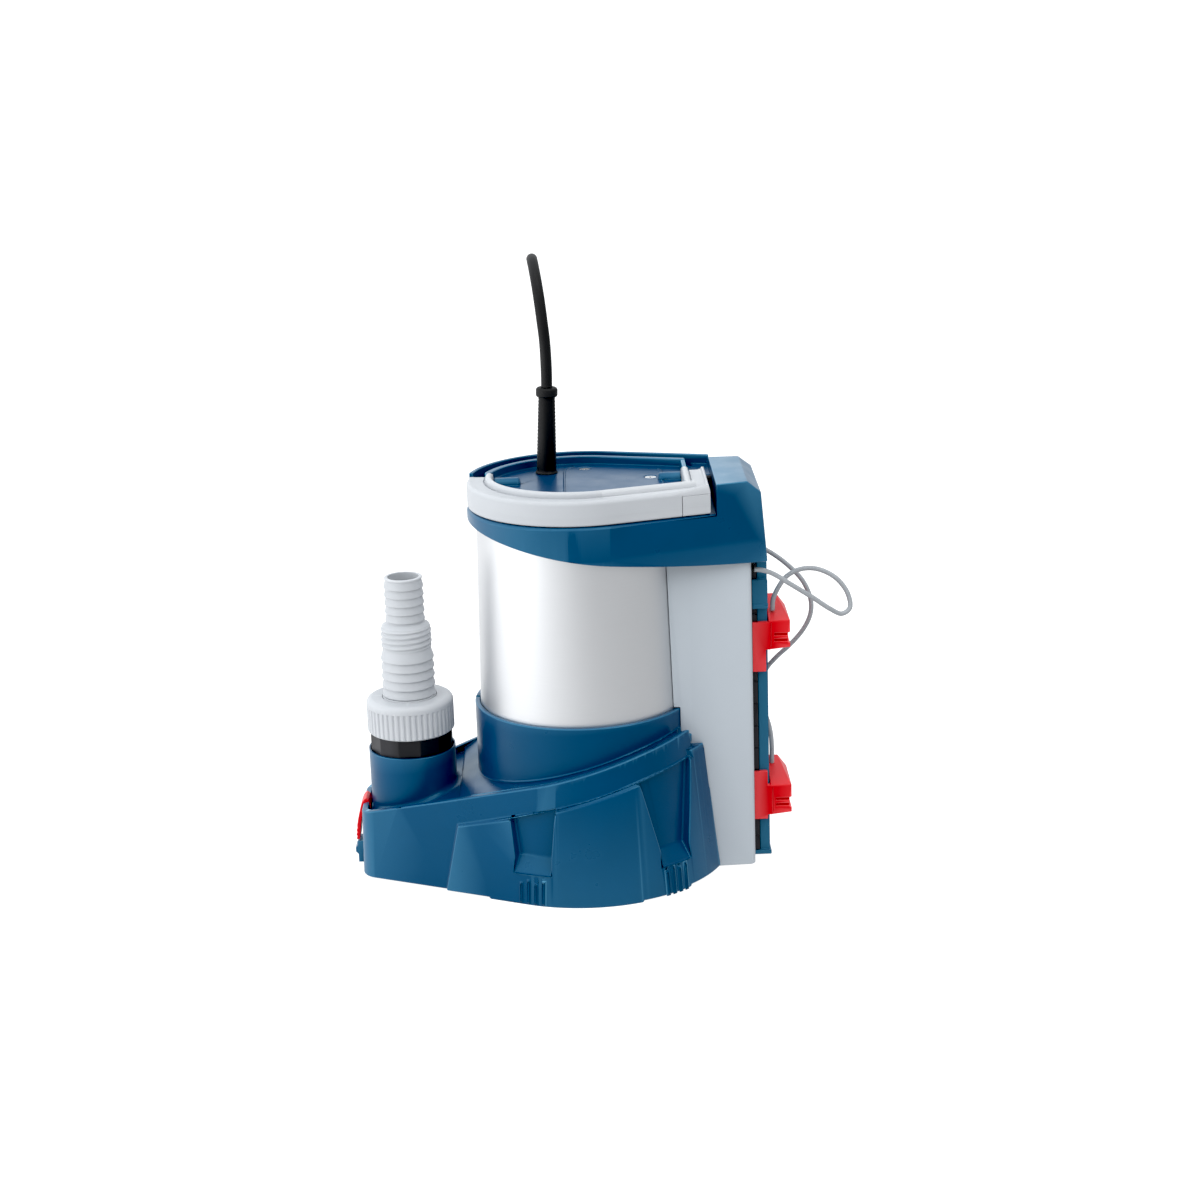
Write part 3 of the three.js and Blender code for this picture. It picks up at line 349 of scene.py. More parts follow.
# ---- materials
class Surface:
    """A material and short ways to add and link its nodes."""

    def __init__(self, name):
        self.material = bpy.data.materials.new(name)
        self.material.use_nodes = True
        self.tree = self.material.node_tree
        self.shader = self.tree.nodes["Principled BSDF"]
        self.place = self.add("ShaderNodeTexCoord").outputs["Object"]

    def add(self, kind, **values):
        node = self.tree.nodes.new(kind)
        for key, value in values.items():
            setattr(node, key, value)
        return node

    def link(self, output, socket):
        self.tree.links.new(output, socket)

    def drive(self, key, output):
        """Links an output to a socket of the shader."""
        self.link(output, self.shader.inputs[key])

    def fix(self, key, value):
        """Gives a socket of the shader one value."""
        self.shader.inputs[key].default_value = value

    def noise(self, scale, detail=3.0, stretch=None):
        """Noise of about 1 / scale metres, stretched along an axis by factors on the coordinates."""
        node = self.add("ShaderNodeTexNoise")
        node.inputs["Scale"].default_value = scale
        node.inputs["Detail"].default_value = detail
        source = self.place
        if stretch:
            mapping = self.add("ShaderNodeMapping")
            mapping.inputs["Scale"].default_value = stretch
            self.link(source, mapping.inputs["Vector"])
            source = mapping.outputs["Vector"]
        self.link(source, node.inputs["Vector"])
        return node.outputs["Fac"]

    def wave(self, scale, distortion=0.0, **kinds):
        node = self.add("ShaderNodeTexWave", **kinds)
        node.inputs["Scale"].default_value = scale
        node.inputs["Distortion"].default_value = distortion
        self.link(self.place, node.inputs["Vector"])
        return node.outputs["Fac"]

    def remap(self, value, low, high, to_low, to_high):
        node = self.add("ShaderNodeMapRange")
        for key, amount in zip(("From Min", "From Max", "To Min", "To Max"), (low, high, to_low, to_high)):
            node.inputs[key].default_value = amount
        self.link(value, node.inputs["Value"])
        return node.outputs["Result"]

    def mix(self, factor, first, second):
        """Mixes two colours, each a colour or another node's output."""
        node = self.add("ShaderNodeMix", data_type="RGBA")
        self.link(factor, node.inputs["Factor"])
        for value, key in ((first, 6), (second, 7)):
            if isinstance(value, tuple):
                node.inputs[key].default_value = (*value, 1)
            else:
                self.link(value, node.inputs[key])
        return node.outputs[2]

    def bump(self, heights):
        """Stacks bumps, each a (height, distance in millimetres, strength)."""
        normal = None
        for height, distance, strength in heights:
            node = self.add("ShaderNodeBump")
            node.inputs["Distance"].default_value = distance * MM
            node.inputs["Strength"].default_value = strength
            self.link(height, node.inputs["Height"])
            if normal:
                self.link(normal, node.inputs["Normal"])
            normal = node.outputs["Normal"]
        self.link(normal, self.shader.inputs["Normal"])

    def edge_wear_and_highlight(self, low=0.515, high=0.58):
        """1 on sharp outer edges and 0 elsewhere."""
        pointiness = self.add("ShaderNodeNewGeometry").outputs["Pointiness"]
        return self.remap(pointiness, low, high, 0, 1)


def tint(color, factor):
    return tuple(min(1.0, channel * factor) for channel in color)


def moulded(name, color, roughness, worn_edge_and_highlight, grain=0.012, shift=0.10, specular=0.5, gloss_tint=(1, 1, 1)):
    """Injection-moulded plastic: soft cloudy colour, fine grain, and paler sharp edges, partly rubbed wear
    and partly a painted highlight.
    """
    s = Surface(name)
    cloud = s.noise(22, 4)
    base = s.mix(s.remap(cloud, 0.3, 0.7, 0, 1), tint(color, 1 - shift), tint(color, 1 + shift))
    speckle = s.remap(s.noise(900, 2), 0.62, 0.78, 0, 0.25)
    base = s.mix(speckle, base, tint(color, 1 + 2 * shift))
    # paler sharp edges: partly rubbed wear, partly a painted highlight where light would catch the rounded
    # edges
    base = s.mix(s.remap(s.edge_wear_and_highlight(), 0, 1, 0, 0.6), base, worn_edge_and_highlight)
    s.drive("Base Color", base)
    smear = s.noise(60, 5)
    s.drive("Roughness", s.remap(smear, 0.3, 0.75, roughness - 0.05, roughness + 0.06))
    s.fix("Specular IOR Level", specular)
    s.fix("Specular Tint", (*gloss_tint, 1))
    s.bump([(s.noise(2600, 2), grain, 0.5), (s.noise(160, 2), 0.05, 0.15)])
    return s.material


def brushed(name, color, roughness, stretch, contrast=0.03, lines=0.0015):
    """Brushed metal: long fine scratches and faint handling marks."""
    s = Surface(name)
    fine = s.noise(60, 6, stretch)
    marks = s.noise(18, 4)
    base = s.mix(s.remap(fine, 0.25, 0.75, 0, 1), tint(color, 1 - contrast), tint(color, 1 + contrast))
    base = s.mix(s.remap(marks, 0.5, 0.85, 0, 0.25), base, tint(color, 0.95))
    s.drive("Base Color", base)
    s.fix("Metallic", 1)
    s.drive("Roughness", s.remap(fine, 0.2, 0.8, roughness - contrast, roughness + contrast))
    s.bump([(fine, lines, 0.5), (s.noise(9, 2), 0.2, 0.04)])
    return s.material


def cast_metal(name, color, roughness):
    """Plain machined or pressed metal inside the motor."""
    s = Surface(name)
    tone = s.noise(70, 5)
    base = s.mix(s.remap(tone, 0.3, 0.7, 0, 1), tint(color, 0.82), tint(color, 1.1))
    s.drive("Base Color", base)
    s.fix("Metallic", 1)
    s.drive("Roughness", s.remap(tone, 0.3, 0.7, roughness - 0.08, roughness + 0.1))
    s.bump([(s.noise(1200, 3), 0.02, 0.4)])
    return s.material


def rubber(name, color, roughness, scale=1500):
    """Rubber or soft cord sheath: dull, dusty, finely pitted."""
    s = Surface(name)
    dust = s.noise(45, 5)
    base = s.mix(s.remap(dust, 0.45, 0.75, 0, 0.5), color, tuple(c + 0.0015 for c in tint(color, 1.2)))
    # slightly paler sharp edges: partly rubbed wear, partly a painted highlight
    base = s.mix(s.remap(s.edge_wear_and_highlight(0.52, 0.6), 0, 1, 0, 0.4), base, tuple(c + 0.03 for c in color))
    s.fix("Specular IOR Level", 0.3)
    s.drive("Base Color", base)
    s.drive("Roughness", s.remap(dust, 0.3, 0.7, roughness - 0.08, roughness + 0.08))
    s.bump([(s.noise(scale, 3), 0.02, 0.5)])
    return s.material


def laminated(name, color):
    """Stack of stamped motor sheets: thin bands across the height."""
    s = Surface(name)
    bands = s.wave(320, bands_direction="Z")
    s.drive("Base Color", s.mix(bands, tint(color, 0.6), color))
    s.fix("Metallic", 0.9)
    s.drive("Roughness", s.remap(bands, 0, 1, 0.5, 0.35))
    s.bump([(bands, 0.08, 0.5)])
    return s.material


def wound(name, color):
    """Enamelled copper wire wound in rings."""
    s = Surface(name)
    wires = s.wave(260, 1.5, wave_type="RINGS", rings_direction="Z")
    s.drive("Base Color", s.mix(wires, tint(color, 0.35), color))
    s.fix("Metallic", 0.8)
    s.drive("Roughness", s.remap(wires, 0, 1, 0.5, 0.3))
    s.bump([(wires, 0.3, 0.6)])
    return s.material


BLUE_GLOSS = (0.30, 0.78, 1.0)  # the blue plastic tints what it reflects
# The fourth colour of each moulded plastic is its paler edge colour: partly rubbed wear, partly a painted
# highlight on the edges.
BLUE = moulded(
    "blue_plastic", (0.0002, 0.038, 0.112), 0.32, (0.14, 0.42, 0.62), shift=0.08, specular=0.6,
    gloss_tint=BLUE_GLOSS,
)
GREY = moulded("grey_plastic", (0.46, 0.48, 0.505), 0.42, (0.60, 0.62, 0.64), shift=0.02, specular=0.35)
HOUSING = moulded("housing_grey", (0.44, 0.485, 0.53), 0.42, (0.60, 0.65, 0.69), shift=0.02, specular=0.35)
BLACK = moulded("black_plastic", (0.004, 0.004, 0.005), 0.42, (0.04, 0.04, 0.045), shift=0.2, specular=0.3)
# The rail's blue is the base's blue made darker and duller: painted shade for the rail, which stands in the
# rear housing's shadow.
RAIL_BLUE_PAINTED_SHADE = moulded(
    "blue_rail_plastic_painted_shade", (0.0002, 0.024, 0.070), 0.40, (0.06, 0.22, 0.36), shift=0.08, specular=0.35,
    gloss_tint=BLUE_GLOSS,
)
RED = moulded(
    "red_plastic", (0.66, 0.006, 0.011), 0.38, (0.95, 0.12, 0.13), shift=0.06, specular=0.4,
    gloss_tint=(1.0, 0.30, 0.30),
)
RUBBER = rubber("black_rubber", (0.003, 0.003, 0.0035), 0.58)
LEAD = rubber("lead_grey", (0.34, 0.36, 0.38), 0.5)
STEEL = brushed("stainless", (0.66, 0.67, 0.685), 0.42, (1, 1, 40), contrast=0.012, lines=0.0006)
PIN_STEEL = brushed("polished_steel", (0.72, 0.73, 0.74), 0.25, (1, 1, 8))
MOTOR_STEEL = cast_metal("motor_steel", (0.42, 0.43, 0.45), 0.45)
LAMINATION = laminated("laminations", (0.40, 0.41, 0.43))
WINDING = wound("winding", (0.60, 0.24, 0.09))
BRASS = brushed("brass_pin", (0.74, 0.56, 0.30), 0.28, (30, 1, 1))
CERAMIC = moulded("ceramic", (0.78, 0.75, 0.68), 0.2, (0.85, 0.83, 0.78), shift=0.03)
BOARD = moulded("board", (0.02, 0.17, 0.06), 0.35, (0.05, 0.28, 0.12), shift=0.15)


# ---- camera
FOCAL_PIXELS = 2300  # focal length over one pixel of a 1200 pixel frame
FRAME_PIXELS = 1200
CAMERA_AT = (-2.4, -1463.8, 598.6)
YAW = math.radians(0.6)
DOWN = math.radians(16)
ROLL = 0.033


def build_camera():
    data = bpy.data.cameras.new("camera")
    data.sensor_width = 36
    data.lens = data.sensor_width * FOCAL_PIXELS / FRAME_PIXELS
    data.clip_end = 100
    obj = new_object("camera", data)
    ahead = Vector((math.sin(YAW), math.cos(YAW), 0))
    side = Vector((math.cos(YAW), -math.sin(YAW), 0))
    up = Vector((0, 0, 1))
    view = math.cos(DOWN) * ahead - math.sin(DOWN) * up
    level_up = math.sin(DOWN) * ahead + math.cos(DOWN) * up
    right = math.cos(ROLL) * side - math.sin(ROLL) * level_up
    top = math.cos(ROLL) * level_up + math.sin(ROLL) * side
    turn = Matrix((right, top, -view)).transposed().to_4x4()
    obj.matrix_world = Matrix.Translation(to_frame(CAMERA_AT)) @ turn
    scene.camera = obj


build_camera()


# ---- cords
COIL_X, COIL_Y = centre("cord_coil")[:2]
PITCH = CORD_D + 0.06  # between neighbouring turns
TURNS_PER_LAYER = 4.5
COIL_OUTER = 81
COIL_FLOOR = CORD_D / 2 + 1.15  # middle of the lowest turns
COIL_TURNS = 23.211  # ends beside the plug, with 9.9 m of cord in all
PLUG_X0 = extent("mains_plug")[0].x
PLUG_Y, PLUG_Z = centre("mains_plug")[1:]

# from the boot over and down behind the pump, then onto the floor
CORD_ROUTE = [
    (-17.25, 36, 316.3), (-17, 36, 326), (-17.4, 36, 345), (-18.8, 36, 361.5), (-20.7, 40.6, 378.8),
    (-22.8, 53.3, 391.4), (-24.2, 70.5, 396), (-24.1, 87.8, 391.4), (-22.4, 100.4, 378.8),
    (-20.4, 105, 361.5), (-18.6, 105, 340), (-18, 105, 320), (-18.2, 105, 300), (-19.6, 105.5, 265),
    (-22, 106, 230), (-28, 107.5, 180), (-38, 111, 120), (-48, 115, 70), (-55, 121, 36),
    (-58.4, 133, 14), (-59, 147, 6), (-59, 159.6, 4.9),
]
LEAD_A = [
    (112.9, -29, 204), (118, -29, 203.4), (125, -27.5, 200.5), (137, -24.5, 192), (152, -20, 181),
    (164, -15.5, 171.5), (172, -12, 167), (177.5, -9, 170), (176.5, -6.5, 179), (169, -5, 189.5),
    (157, -4.5, 196), (146, -5, 196.6), (136.5, -6, 192.5), (130.5, -7, 185), (127, -8, 177.4),
    (126.4, -8.2, 170),
]
LEAD_B = [
    (112.9, 29, 206), (118, 29, 205.2), (127.5, 28.6, 200.5), (140, 27.6, 191), (150.5, 26.6, 179),
    (155.4, 25.6, 166), (154.8, 25, 156), (149.6, 24.6, 145.6), (140.5, 24.2, 135.4), (131.5, 23.8, 127.4),
    (124.6, 23.4, 119.5), (120.8, 23.1, 110), (120, 22.9, 101), (121.4, 22.2, 92), (124.6, 19.2, 84),
    (126.2, 13.8, 76.4), (126.4, 9, 69), (126.2, 7, 61.5), (126.2, 7, 57.5),
]


def smooth(t):
    t = max(0.0, min(1.0, t))
    return t * t * (3 - 2 * t)


def through(points, steps):
    """Centripetal Catmull-Rom curve through the points, as a list of points."""
    pts = [Vector(p) for p in points]
    pts = [2 * pts[0] - pts[1], *pts, 2 * pts[-1] - pts[-2]]
    line = []
    for a, b, c, d in zip(pts, pts[1:], pts[2:], pts[3:]):
        t0 = 0.0
        t1 = t0 + math.sqrt((b - a).length)
        t2 = t1 + math.sqrt((c - b).length)
        t3 = t2 + math.sqrt((d - c).length)
        for i in range(steps):
            t = t1 + (t2 - t1) * i / steps
            ab = a * ((t1 - t) / (t1 - t0)) + b * ((t - t0) / (t1 - t0))
            bc = b * ((t2 - t) / (t2 - t1)) + c * ((t - t1) / (t2 - t1))
            cd = c * ((t3 - t) / (t3 - t2)) + d * ((t - t2) / (t3 - t2))
            abc = ab * ((t2 - t) / (t2 - t0)) + bc * ((t - t0) / (t2 - t0))
            bcd = bc * ((t3 - t) / (t3 - t1)) + cd * ((t - t1) / (t3 - t1))
            line.append(abc * ((t2 - t) / (t2 - t1)) + bcd * ((t - t1) / (t2 - t1)))
    line.append(pts[-2])
    return line


def coil_point(t):
    """Centre of the cord t turns into the coil: layers that spiral in and out in turn."""
    layer = int(t / TURNS_PER_LAYER)
    into = t - layer * TURNS_PER_LAYER
    inward = layer % 2 == 0
    span = PITCH * TURNS_PER_LAYER
    r = COIL_OUTER - PITCH * into if inward else COIL_OUTER - span + PITCH * into
    climb = (into - (TURNS_PER_LAYER - 0.5)) / 0.5
    if climb > 0:
        r += (-2.5 if inward else 2.5) * math.sin(math.pi * climb)
    z = COIL_FLOOR + PITCH * (layer + smooth(climb))
    # the last turn lifts over the others to reach the back of the plug
    last = (t - (COIL_TURNS - 0.8)) / 0.8
    if last > 0:
        r += (PLUG_Y - COIL_Y + 1.9 - r) * smooth((last - 0.35) / 0.65)
        z += (PLUG_Z - z) * smooth(last)
    a = math.pi - 2 * math.pi * t
    return Vector((COIL_X + r * math.cos(a), COIL_Y + r * math.sin(a), z))


def cord_line():
    coil_steps = int(COIL_TURNS * 40)
    coil = [coil_point(COIL_TURNS * i / coil_steps) for i in range(1, coil_steps)]
    route = through([*CORD_ROUTE, coil_point(0)], 8)
    into_plug = [Vector((PLUG_X0 + x, PLUG_Y, PLUG_Z)) for x in (-1, 8)]
    return route + coil + into_plug


def curve_piece(name, line, diameter, body, material, nodes):
    """Round tube on a line of points in millimetres."""
    data = bpy.data.curves.new(name, "CURVE")
    data.dimensions = "3D"
    data.bevel_depth = diameter / 2 * MM
    data.bevel_resolution = 5
    data.use_fill_caps = True
    spline = data.splines.new("POLY")
    spline.points.add(len(line) - 1)
    for point, position in zip(spline.points, line):
        point.co = (*to_frame(position), 1)
    obj = new_object(name, data)
    return dress(obj, body, material, nodes)


def swept_tube(line, diameter, sides=16):
    """Round solid along a line of points, for a piece that bends between two bodies."""
    rows = []
    side = None
    for i, at in enumerate(line):
        ahead = (line[min(i + 1, len(line) - 1)] - line[max(i - 1, 0)]).normalized()
        if side is None:
            side = ahead.orthogonal().normalized()
        side = (side - side.dot(ahead) * ahead).normalized()
        other = ahead.cross(side)
        angles = [2 * math.pi * k / sides for k in range(sides)]
        rows.append([at + diameter / 2 * (math.cos(a) * side + math.sin(a) * other) for a in angles])
    return lofted(rows)


def build_cord_tie():
    """Rubber strap that holds the coil together, with its button."""
    half = PITCH * 2.5 + 3.4
    mid_r = COIL_OUTER - PITCH * TURNS_PER_LAYER / 2
    mid_z = COIL_FLOOR + 2 * PITCH
    outline = []
    for cx, cz, first in ((1, 1, 0), (-1, 1, 90), (-1, -1, 180), (1, -1, 270)):
        outline += arc(mid_r + cx * (half - 5), mid_z + cz * (half - 7.6), 5, first, first + 90, 6)
    inner = [(mid_r + (a - mid_r) * 0.93, mid_z + (b - mid_z) * 0.93) for a, b in outline]
    strap = cut(prism(outline, -6, 6, "Y"), prism(inner, -8, 8, "Y"))
    button = turned(0, 0, [(0, 0), (3.2, 0), (3.6, 1), (3.4, 2.4), (2, 3), (0, 3)], 24, "X")
    button.data.transform(Matrix.Translation((mid_r + half - 0.5, 0, mid_z)))
    strap = join(strap, button)
    strap.data.transform(Matrix.Translation((COIL_X, COIL_Y, 0)))
    return finish_piece(strap, "cord_tie", "pump", RUBBER, edge=0.5)


def build_plug():
    """Round plug: a ringed neck, then a body with gripping ridges and holes for its two pins."""
    x0 = PLUG_X0
    body = turned(PLUG_Y, PLUG_Z, [
        (0, x0), (5.0, x0), (5.4, x0 + 1), (5.8, x0 + 8), (6.8, x0 + 14), (9.2, x0 + 22), (13.6, x0 + 28),
        (16.2, x0 + 32), (17.8, x0 + 36), (18.8, x0 + 40), (19, x0 + 42), (19, x0 + 52.6), (18.2, x0 + 54),
        (0, x0 + 54),
    ], 64, "X")
    grooves = [tube_x(x0 + 3.2 + 3 * i, x0 + 4.6 + 3 * i, 12, 4.9 + 0.25 * i) for i in range(4)]
    grips = []
    for side in (-1, 1):
        z = PLUG_Z + side * 19.2
        for i in range(5):
            x = x0 + 38 + 2.8 * i
            grips.append(box(x, x + 1.3, PLUG_Y - 12, PLUG_Y + 12, z - 1, z + 1))
    holes = [rod_x(x0 + 44, x0 + 60, PLUG_Y + y, PLUG_Z, 2.6, 32) for y in (-9.5, 9.5)]
    cut(body, *grooves, *grips, *holes)
    return finish_piece(body, "plug_body", "pump", RUBBER, ["mains_plug"], edge=0.5)


def tube_x(x0, x1, r_out, r_in, sides=64):
    """Tube along X on the plug's own axis."""
    return turned(PLUG_Y, PLUG_Z, [(r_in, x0), (r_out, x0), (r_out, x1), (r_in, x1)], sides, "X")


def build_cords():
    cord = curve_piece(
        "mains_cord", cord_line(), CORD_D, "pump", RUBBER, ["power_cord", "cord_coil"],
    )
    plug = build_plug()
    tie = build_cord_tie()
    for name, points in (("upper", LEAD_A), ("lower", LEAD_B)):
        line = through(points, 8)
        lead = swept_tube(line, LEAD_D)
        finish_lead(lead, f"{name}_lead", [f"{name}_probe_lead"])


def finish_lead(lead, name, nodes):
    """Places a probe lead between the housing and its probe, with its material, and hides the CAD nodes that
    it stands for.
    """
    lead.name = name
    lead.data.transform(Matrix.Translation((AXIS_X, 0, 0)) @ Matrix.Scale(MM, 4))
    lead.data.materials.append(LEAD)
    lead.data.shade_smooth()
    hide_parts(*nodes)
    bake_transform(lead)


build_cords()


# ---- base
def edge_z(x):
    """Height of the wall's top edge, which sweeps up towards the rear and flattens there."""
    past = max(0, x - SAG_X)
    return EDGE_Z0 + EDGE_SLOPE * x - EDGE_SAG * past * past


def sweep_block(drop):
    """Everything above the sweeping edge, which is first lowered by drop."""
    reach = 160
    top = 400
    line = [(x, edge_z(x) - drop) for x in (-reach, *range(SAG_X, 121, 5))]
    return prism([*line, (120, top), (-reach, top)], -reach, reach, "Y")


def base_plan(z, grow):
    """The base's outline at height z, offset by grow: a round tub and the two corners of the nose."""
    lean = BASE_DRAFT * z
    corner_x = NOSE_X + NOSE_R + 0.02 * z
    corner_y = NOSE_Y - NOSE_R - 0.8 * lean
    outline = circle(0, 0, BASE_R - lean + grow, 180)
    outline += circle(corner_x, corner_y, NOSE_R + grow, 48)
    outline += circle(corner_x, -corner_y, NOSE_R + grow, 48)
    return [(x, y, z) for x, y in outline]


def base_solid(z0, z1, grow):
    return hull(base_plan(z0, grow) + base_plan(z1, grow))


def barrel_r(z):
    return BARREL_R - BARREL_TAPER * (z - COLLAR_Z)


def barrel_solid(z0, z1, grow):
    return rod(0, 0, z0, z1, barrel_r(z0) + grow, barrel_r(z1) + grow, 180)


# angle from +X, in degrees, past which the side runs straight to the nose
FLAT_FROM = 180 - math.degrees(
    math.acos((BASE_R - NOSE_R) / math.hypot(NOSE_X + NOSE_R, NOSE_Y - NOSE_R))
    + math.atan2(NOSE_Y - NOSE_R, -NOSE_X - NOSE_R)
)


def side_r(angle, z, grow):
    """Distance from the axis to the base's side, at an angle in degrees from +X."""
    past = math.radians(max(0, abs(angle) - FLAT_FROM))
    return (BASE_R - BASE_DRAFT * z + grow) / math.cos(past)


def panel_solid():
    """Raised side panels with a chamfered top edge."""
    chamfer = 1.9
    inner_r = 70
    steps = 140
    rows = []
    for i in range(steps + 1):
        angle = 165 - 140 * i / steps
        top = edge_z(side_r(angle, 60, 0) * math.cos(math.radians(angle))) - PANEL_DROP
        section = [
            (inner_r, 0), (side_r(angle, 0, PANEL_LIFT), 0),
            (side_r(angle, top - chamfer, PANEL_LIFT), top - chamfer), (side_r(angle, top, 0.35), top),
            (inner_r, top),
        ]
        a = math.radians(angle)
        rows.append([(r * math.cos(a), -r * math.sin(a), z) for r, z in section])
    far_rows = [[(x, -y, z) for x, y, z in row] for row in rows]
    return join(lofted(rows), lofted(far_rows))


# side pockets: left and right edge in degrees from +X, first at the foot and then POCKET_RISE higher
POCKETS = [(121.6, 105.7, 126.6, 103.2), (59.8, 44.8, 67.5, 39.4)]
POCKET_Z = 20.6
POCKET_LEDGE = 10.5
POCKET_RISE = 45
POCKET_DEPTH = 6.4
# middle in degrees from +X, lowest and highest point of the small ribs below the pockets
RIBS = [(113.5, 1.5, 16), (53.3, 1.5, 18.5)]
RIB_PITCH = 5.2
RIB_ANGLE = 90  # where the side is round, as it is at both sets of ribs


def pocket_block(pocket, inset, mirror):
    """Recess that opens upwards, with a curved floor and a sloping ledge at its foot."""
    left0, right0, left1, right1 = pocket
    spread = math.degrees(inset / BASE_R)
    ledge_z = POCKET_Z + POCKET_LEDGE
    rows = []
    for z, depth in (
        (POCKET_Z - inset, 0.2), (ledge_z - inset, POCKET_DEPTH),
        (POCKET_Z + 2.2 * POCKET_RISE, PANEL_LIFT + 0.25),
    ):
        share = max(0, (z - ledge_z) / POCKET_RISE)
        left = left0 + (left1 - left0) * share + spread
        right = right0 + (right1 - right0) * share - spread
        rows.append((z, PANEL_LIFT - depth - inset, PANEL_LIFT + 9, left, right))
    return ring_segment(rows, mirror)


def ring_segment(rows, mirror, steps=14):
    """Solid along the base's side, in rows of (z, inner offset, outer offset, left angle, right angle)."""
    turn = 1 if mirror else -1
    loops = []
    for z, inner, outer, left, right in rows:
        angles = [left + (right - left) * i / steps for i in range(steps + 1)]
        loop = [(side_r(a, z, inner), math.radians(a)) for a in angles]
        loop += [(side_r(a, z, outer), math.radians(a)) for a in reversed(angles)]
        loops.append([(r * math.cos(a), turn * r * math.sin(a), z) for r, a in loop])
    return lofted(loops)


def panel_ribs():
    """Four thin upright ribs below each side pocket, every other one a little taller."""
    ribs = []
    for angle, z0, z1 in RIBS:
        for i in range(4):
            for mirror in (False, True):
                rib = turned_about_z(panel_rib((i - 1.5) * RIB_PITCH, z0, z1 + 2 * (i % 2)), -angle)
                ribs.append(mirrored_y(rib) if mirror else rib)
    return ribs


def panel_rib(y, low, high):
    """Rib at a sideways distance y on the panel's foot."""
    back0, back1 = [math.sqrt(side_r(RIB_ANGLE, z, PANEL_LIFT) ** 2 - y * y) for z in (low, high)]
    corners = []
    for x, half, z in (
        (back0 - 3, 0.9, low), (back1 - 3, 0.9, high),
        (back0 + 1.4, 0.7, low), (back1 + 1.2, 0.7, high - 2),
    ):
        corners += [(x, y - half, z), (x, y + half, z)]
    return hull(corners)


def base_walls():
    """Body up to the low deck, the sweeping wall round it, and an infill that lifts the deck at the rear."""
    body = cut(base_solid(0, BASE_TOP, 0), sweep_block(DECK_DROP))
    rim = cut(base_solid(0, BASE_TOP, 0), sweep_block(0), base_solid(-1, BASE_TOP + 1, -BASE_WALL))
    ramp = prism([(-84, 20), (130, 20), (130, 130), (-48, 130), (-62, 72), (-84, 60)], -100, 100, "Y")
    infill = keep(cut(base_solid(0, BASE_TOP, -1), sweep_block(0.8)), ramp)
    notch = cut(
        box(60, 130, -NOTCH_Y, NOTCH_Y, NOTCH_Z, 130),
        rod(0, 0, 0, 140, COLLAR_R + 0.01, sides=180),
    )
    return cut(join(body, rim, infill), notch)


def side_panels():
    """The raised panels, cut off along a leaning line towards the nose."""
    ends = ((-95, 0), (-85, 46), (-70, 120), (120, 0), (120, 120))
    return keep(panel_solid(), hull([(x, y, z) for x, z in ends for y in (-100, 100)]))


def base_limit():
    """Space that the base may fill once its collar and sleeve are blended in."""
    return join(
        cut(base_solid(0, BASE_TOP, PANEL_LIFT + 2), sweep_block(0)),
        rod(0, 0, 0, COLLAR_Z, COLLAR_R, sides=180),
        rod(OUTLET_X, 0, 0, SLEEVE_Z, SLEEVE_R),
    )


def both_sides_pockets(inset):
    return [pocket_block(pocket, inset, mirror) for pocket in POCKETS for mirror in (False, True)]


def base_hollow():
    """Space under the deck, kept clear of the pockets."""
    hollow = cut(
        base_solid(-1, BASE_TOP, -BASE_WALL),
        sweep_block(DECK_DROP + 3),
        box(56, 130, -52, 52, NOTCH_Z - 4, 130),
    )
    return cut(hollow, *both_sides_pockets(2.4))


def base_openings():
    """Openings for the barrel, nipple, housing, latch and water."""
    housing_slot = cut(
        box(60, 130, -HOUSING_Y - 0.8, HOUSING_Y + 0.8, -1, 130),
        rod(0, 0, -2, COLLAR_Z + 2, COLLAR_R, sides=180),
    )
    return [
        barrel_solid(62, 130, GAP),
        rod(OUTLET_X, 0, 20, 100, SLEEVE_R - 0.9),
        housing_slot,
        box(-170, -66, -110, 110, -1, 1.2),
        box(34, 130, -110, 110, -1, 1.2),
        box(66, 130, -110, 110, -1, 2.6),
        box(-COLLAR_R - 3, -COLLAR_R + 5, 2, 4.6, COLLAR_Z - 6, 130),
        box(-170, -140, -7.3, 7.3, -1, 5.3),
        box(-160, -145.6, -8.1, 8.1, 36.4, 60),
        rod_y(LATCH_X, -12, 12, LATCH_Z, LATCH_HOLE_R, 24),
    ]


def build_base():
    flange = keep(
        base_solid(0, NOTCH_Z, PANEL_LIFT),
        box(60, 130, -NOTCH_Y - 5, NOTCH_Y + 5, -1, NOTCH_Z + 1),
    )
    shell = join(base_walls(), side_panels(), flange)
    shell = join(
        shell,
        turned(0, 0, [(0, 40), (COLLAR_R, 40), (COLLAR_R, COLLAR_Z), (0, COLLAR_Z)], 180),
        rod(OUTLET_X, 0, 30, SLEEVE_Z, SLEEVE_R),
        deck_fillet(0, COLLAR_R, 7, 180),
        deck_fillet(OUTLET_X, SLEEVE_R, 5, 96),
    )
    shell = keep(shell, base_limit())
    shell = cut(shell, *[cut(pocket, sweep_block(PANEL_DROP)) for pocket in both_sides_pockets(0)])
    shell = cut(shell, base_hollow())
    shell = join(shell, *panel_ribs())
    shell = cut(shell, *base_openings())
    return finish_piece(
        shell, "base_moulding", "pump", BLUE, ["base_shell"], edge=0.9, sharp=28,
    )


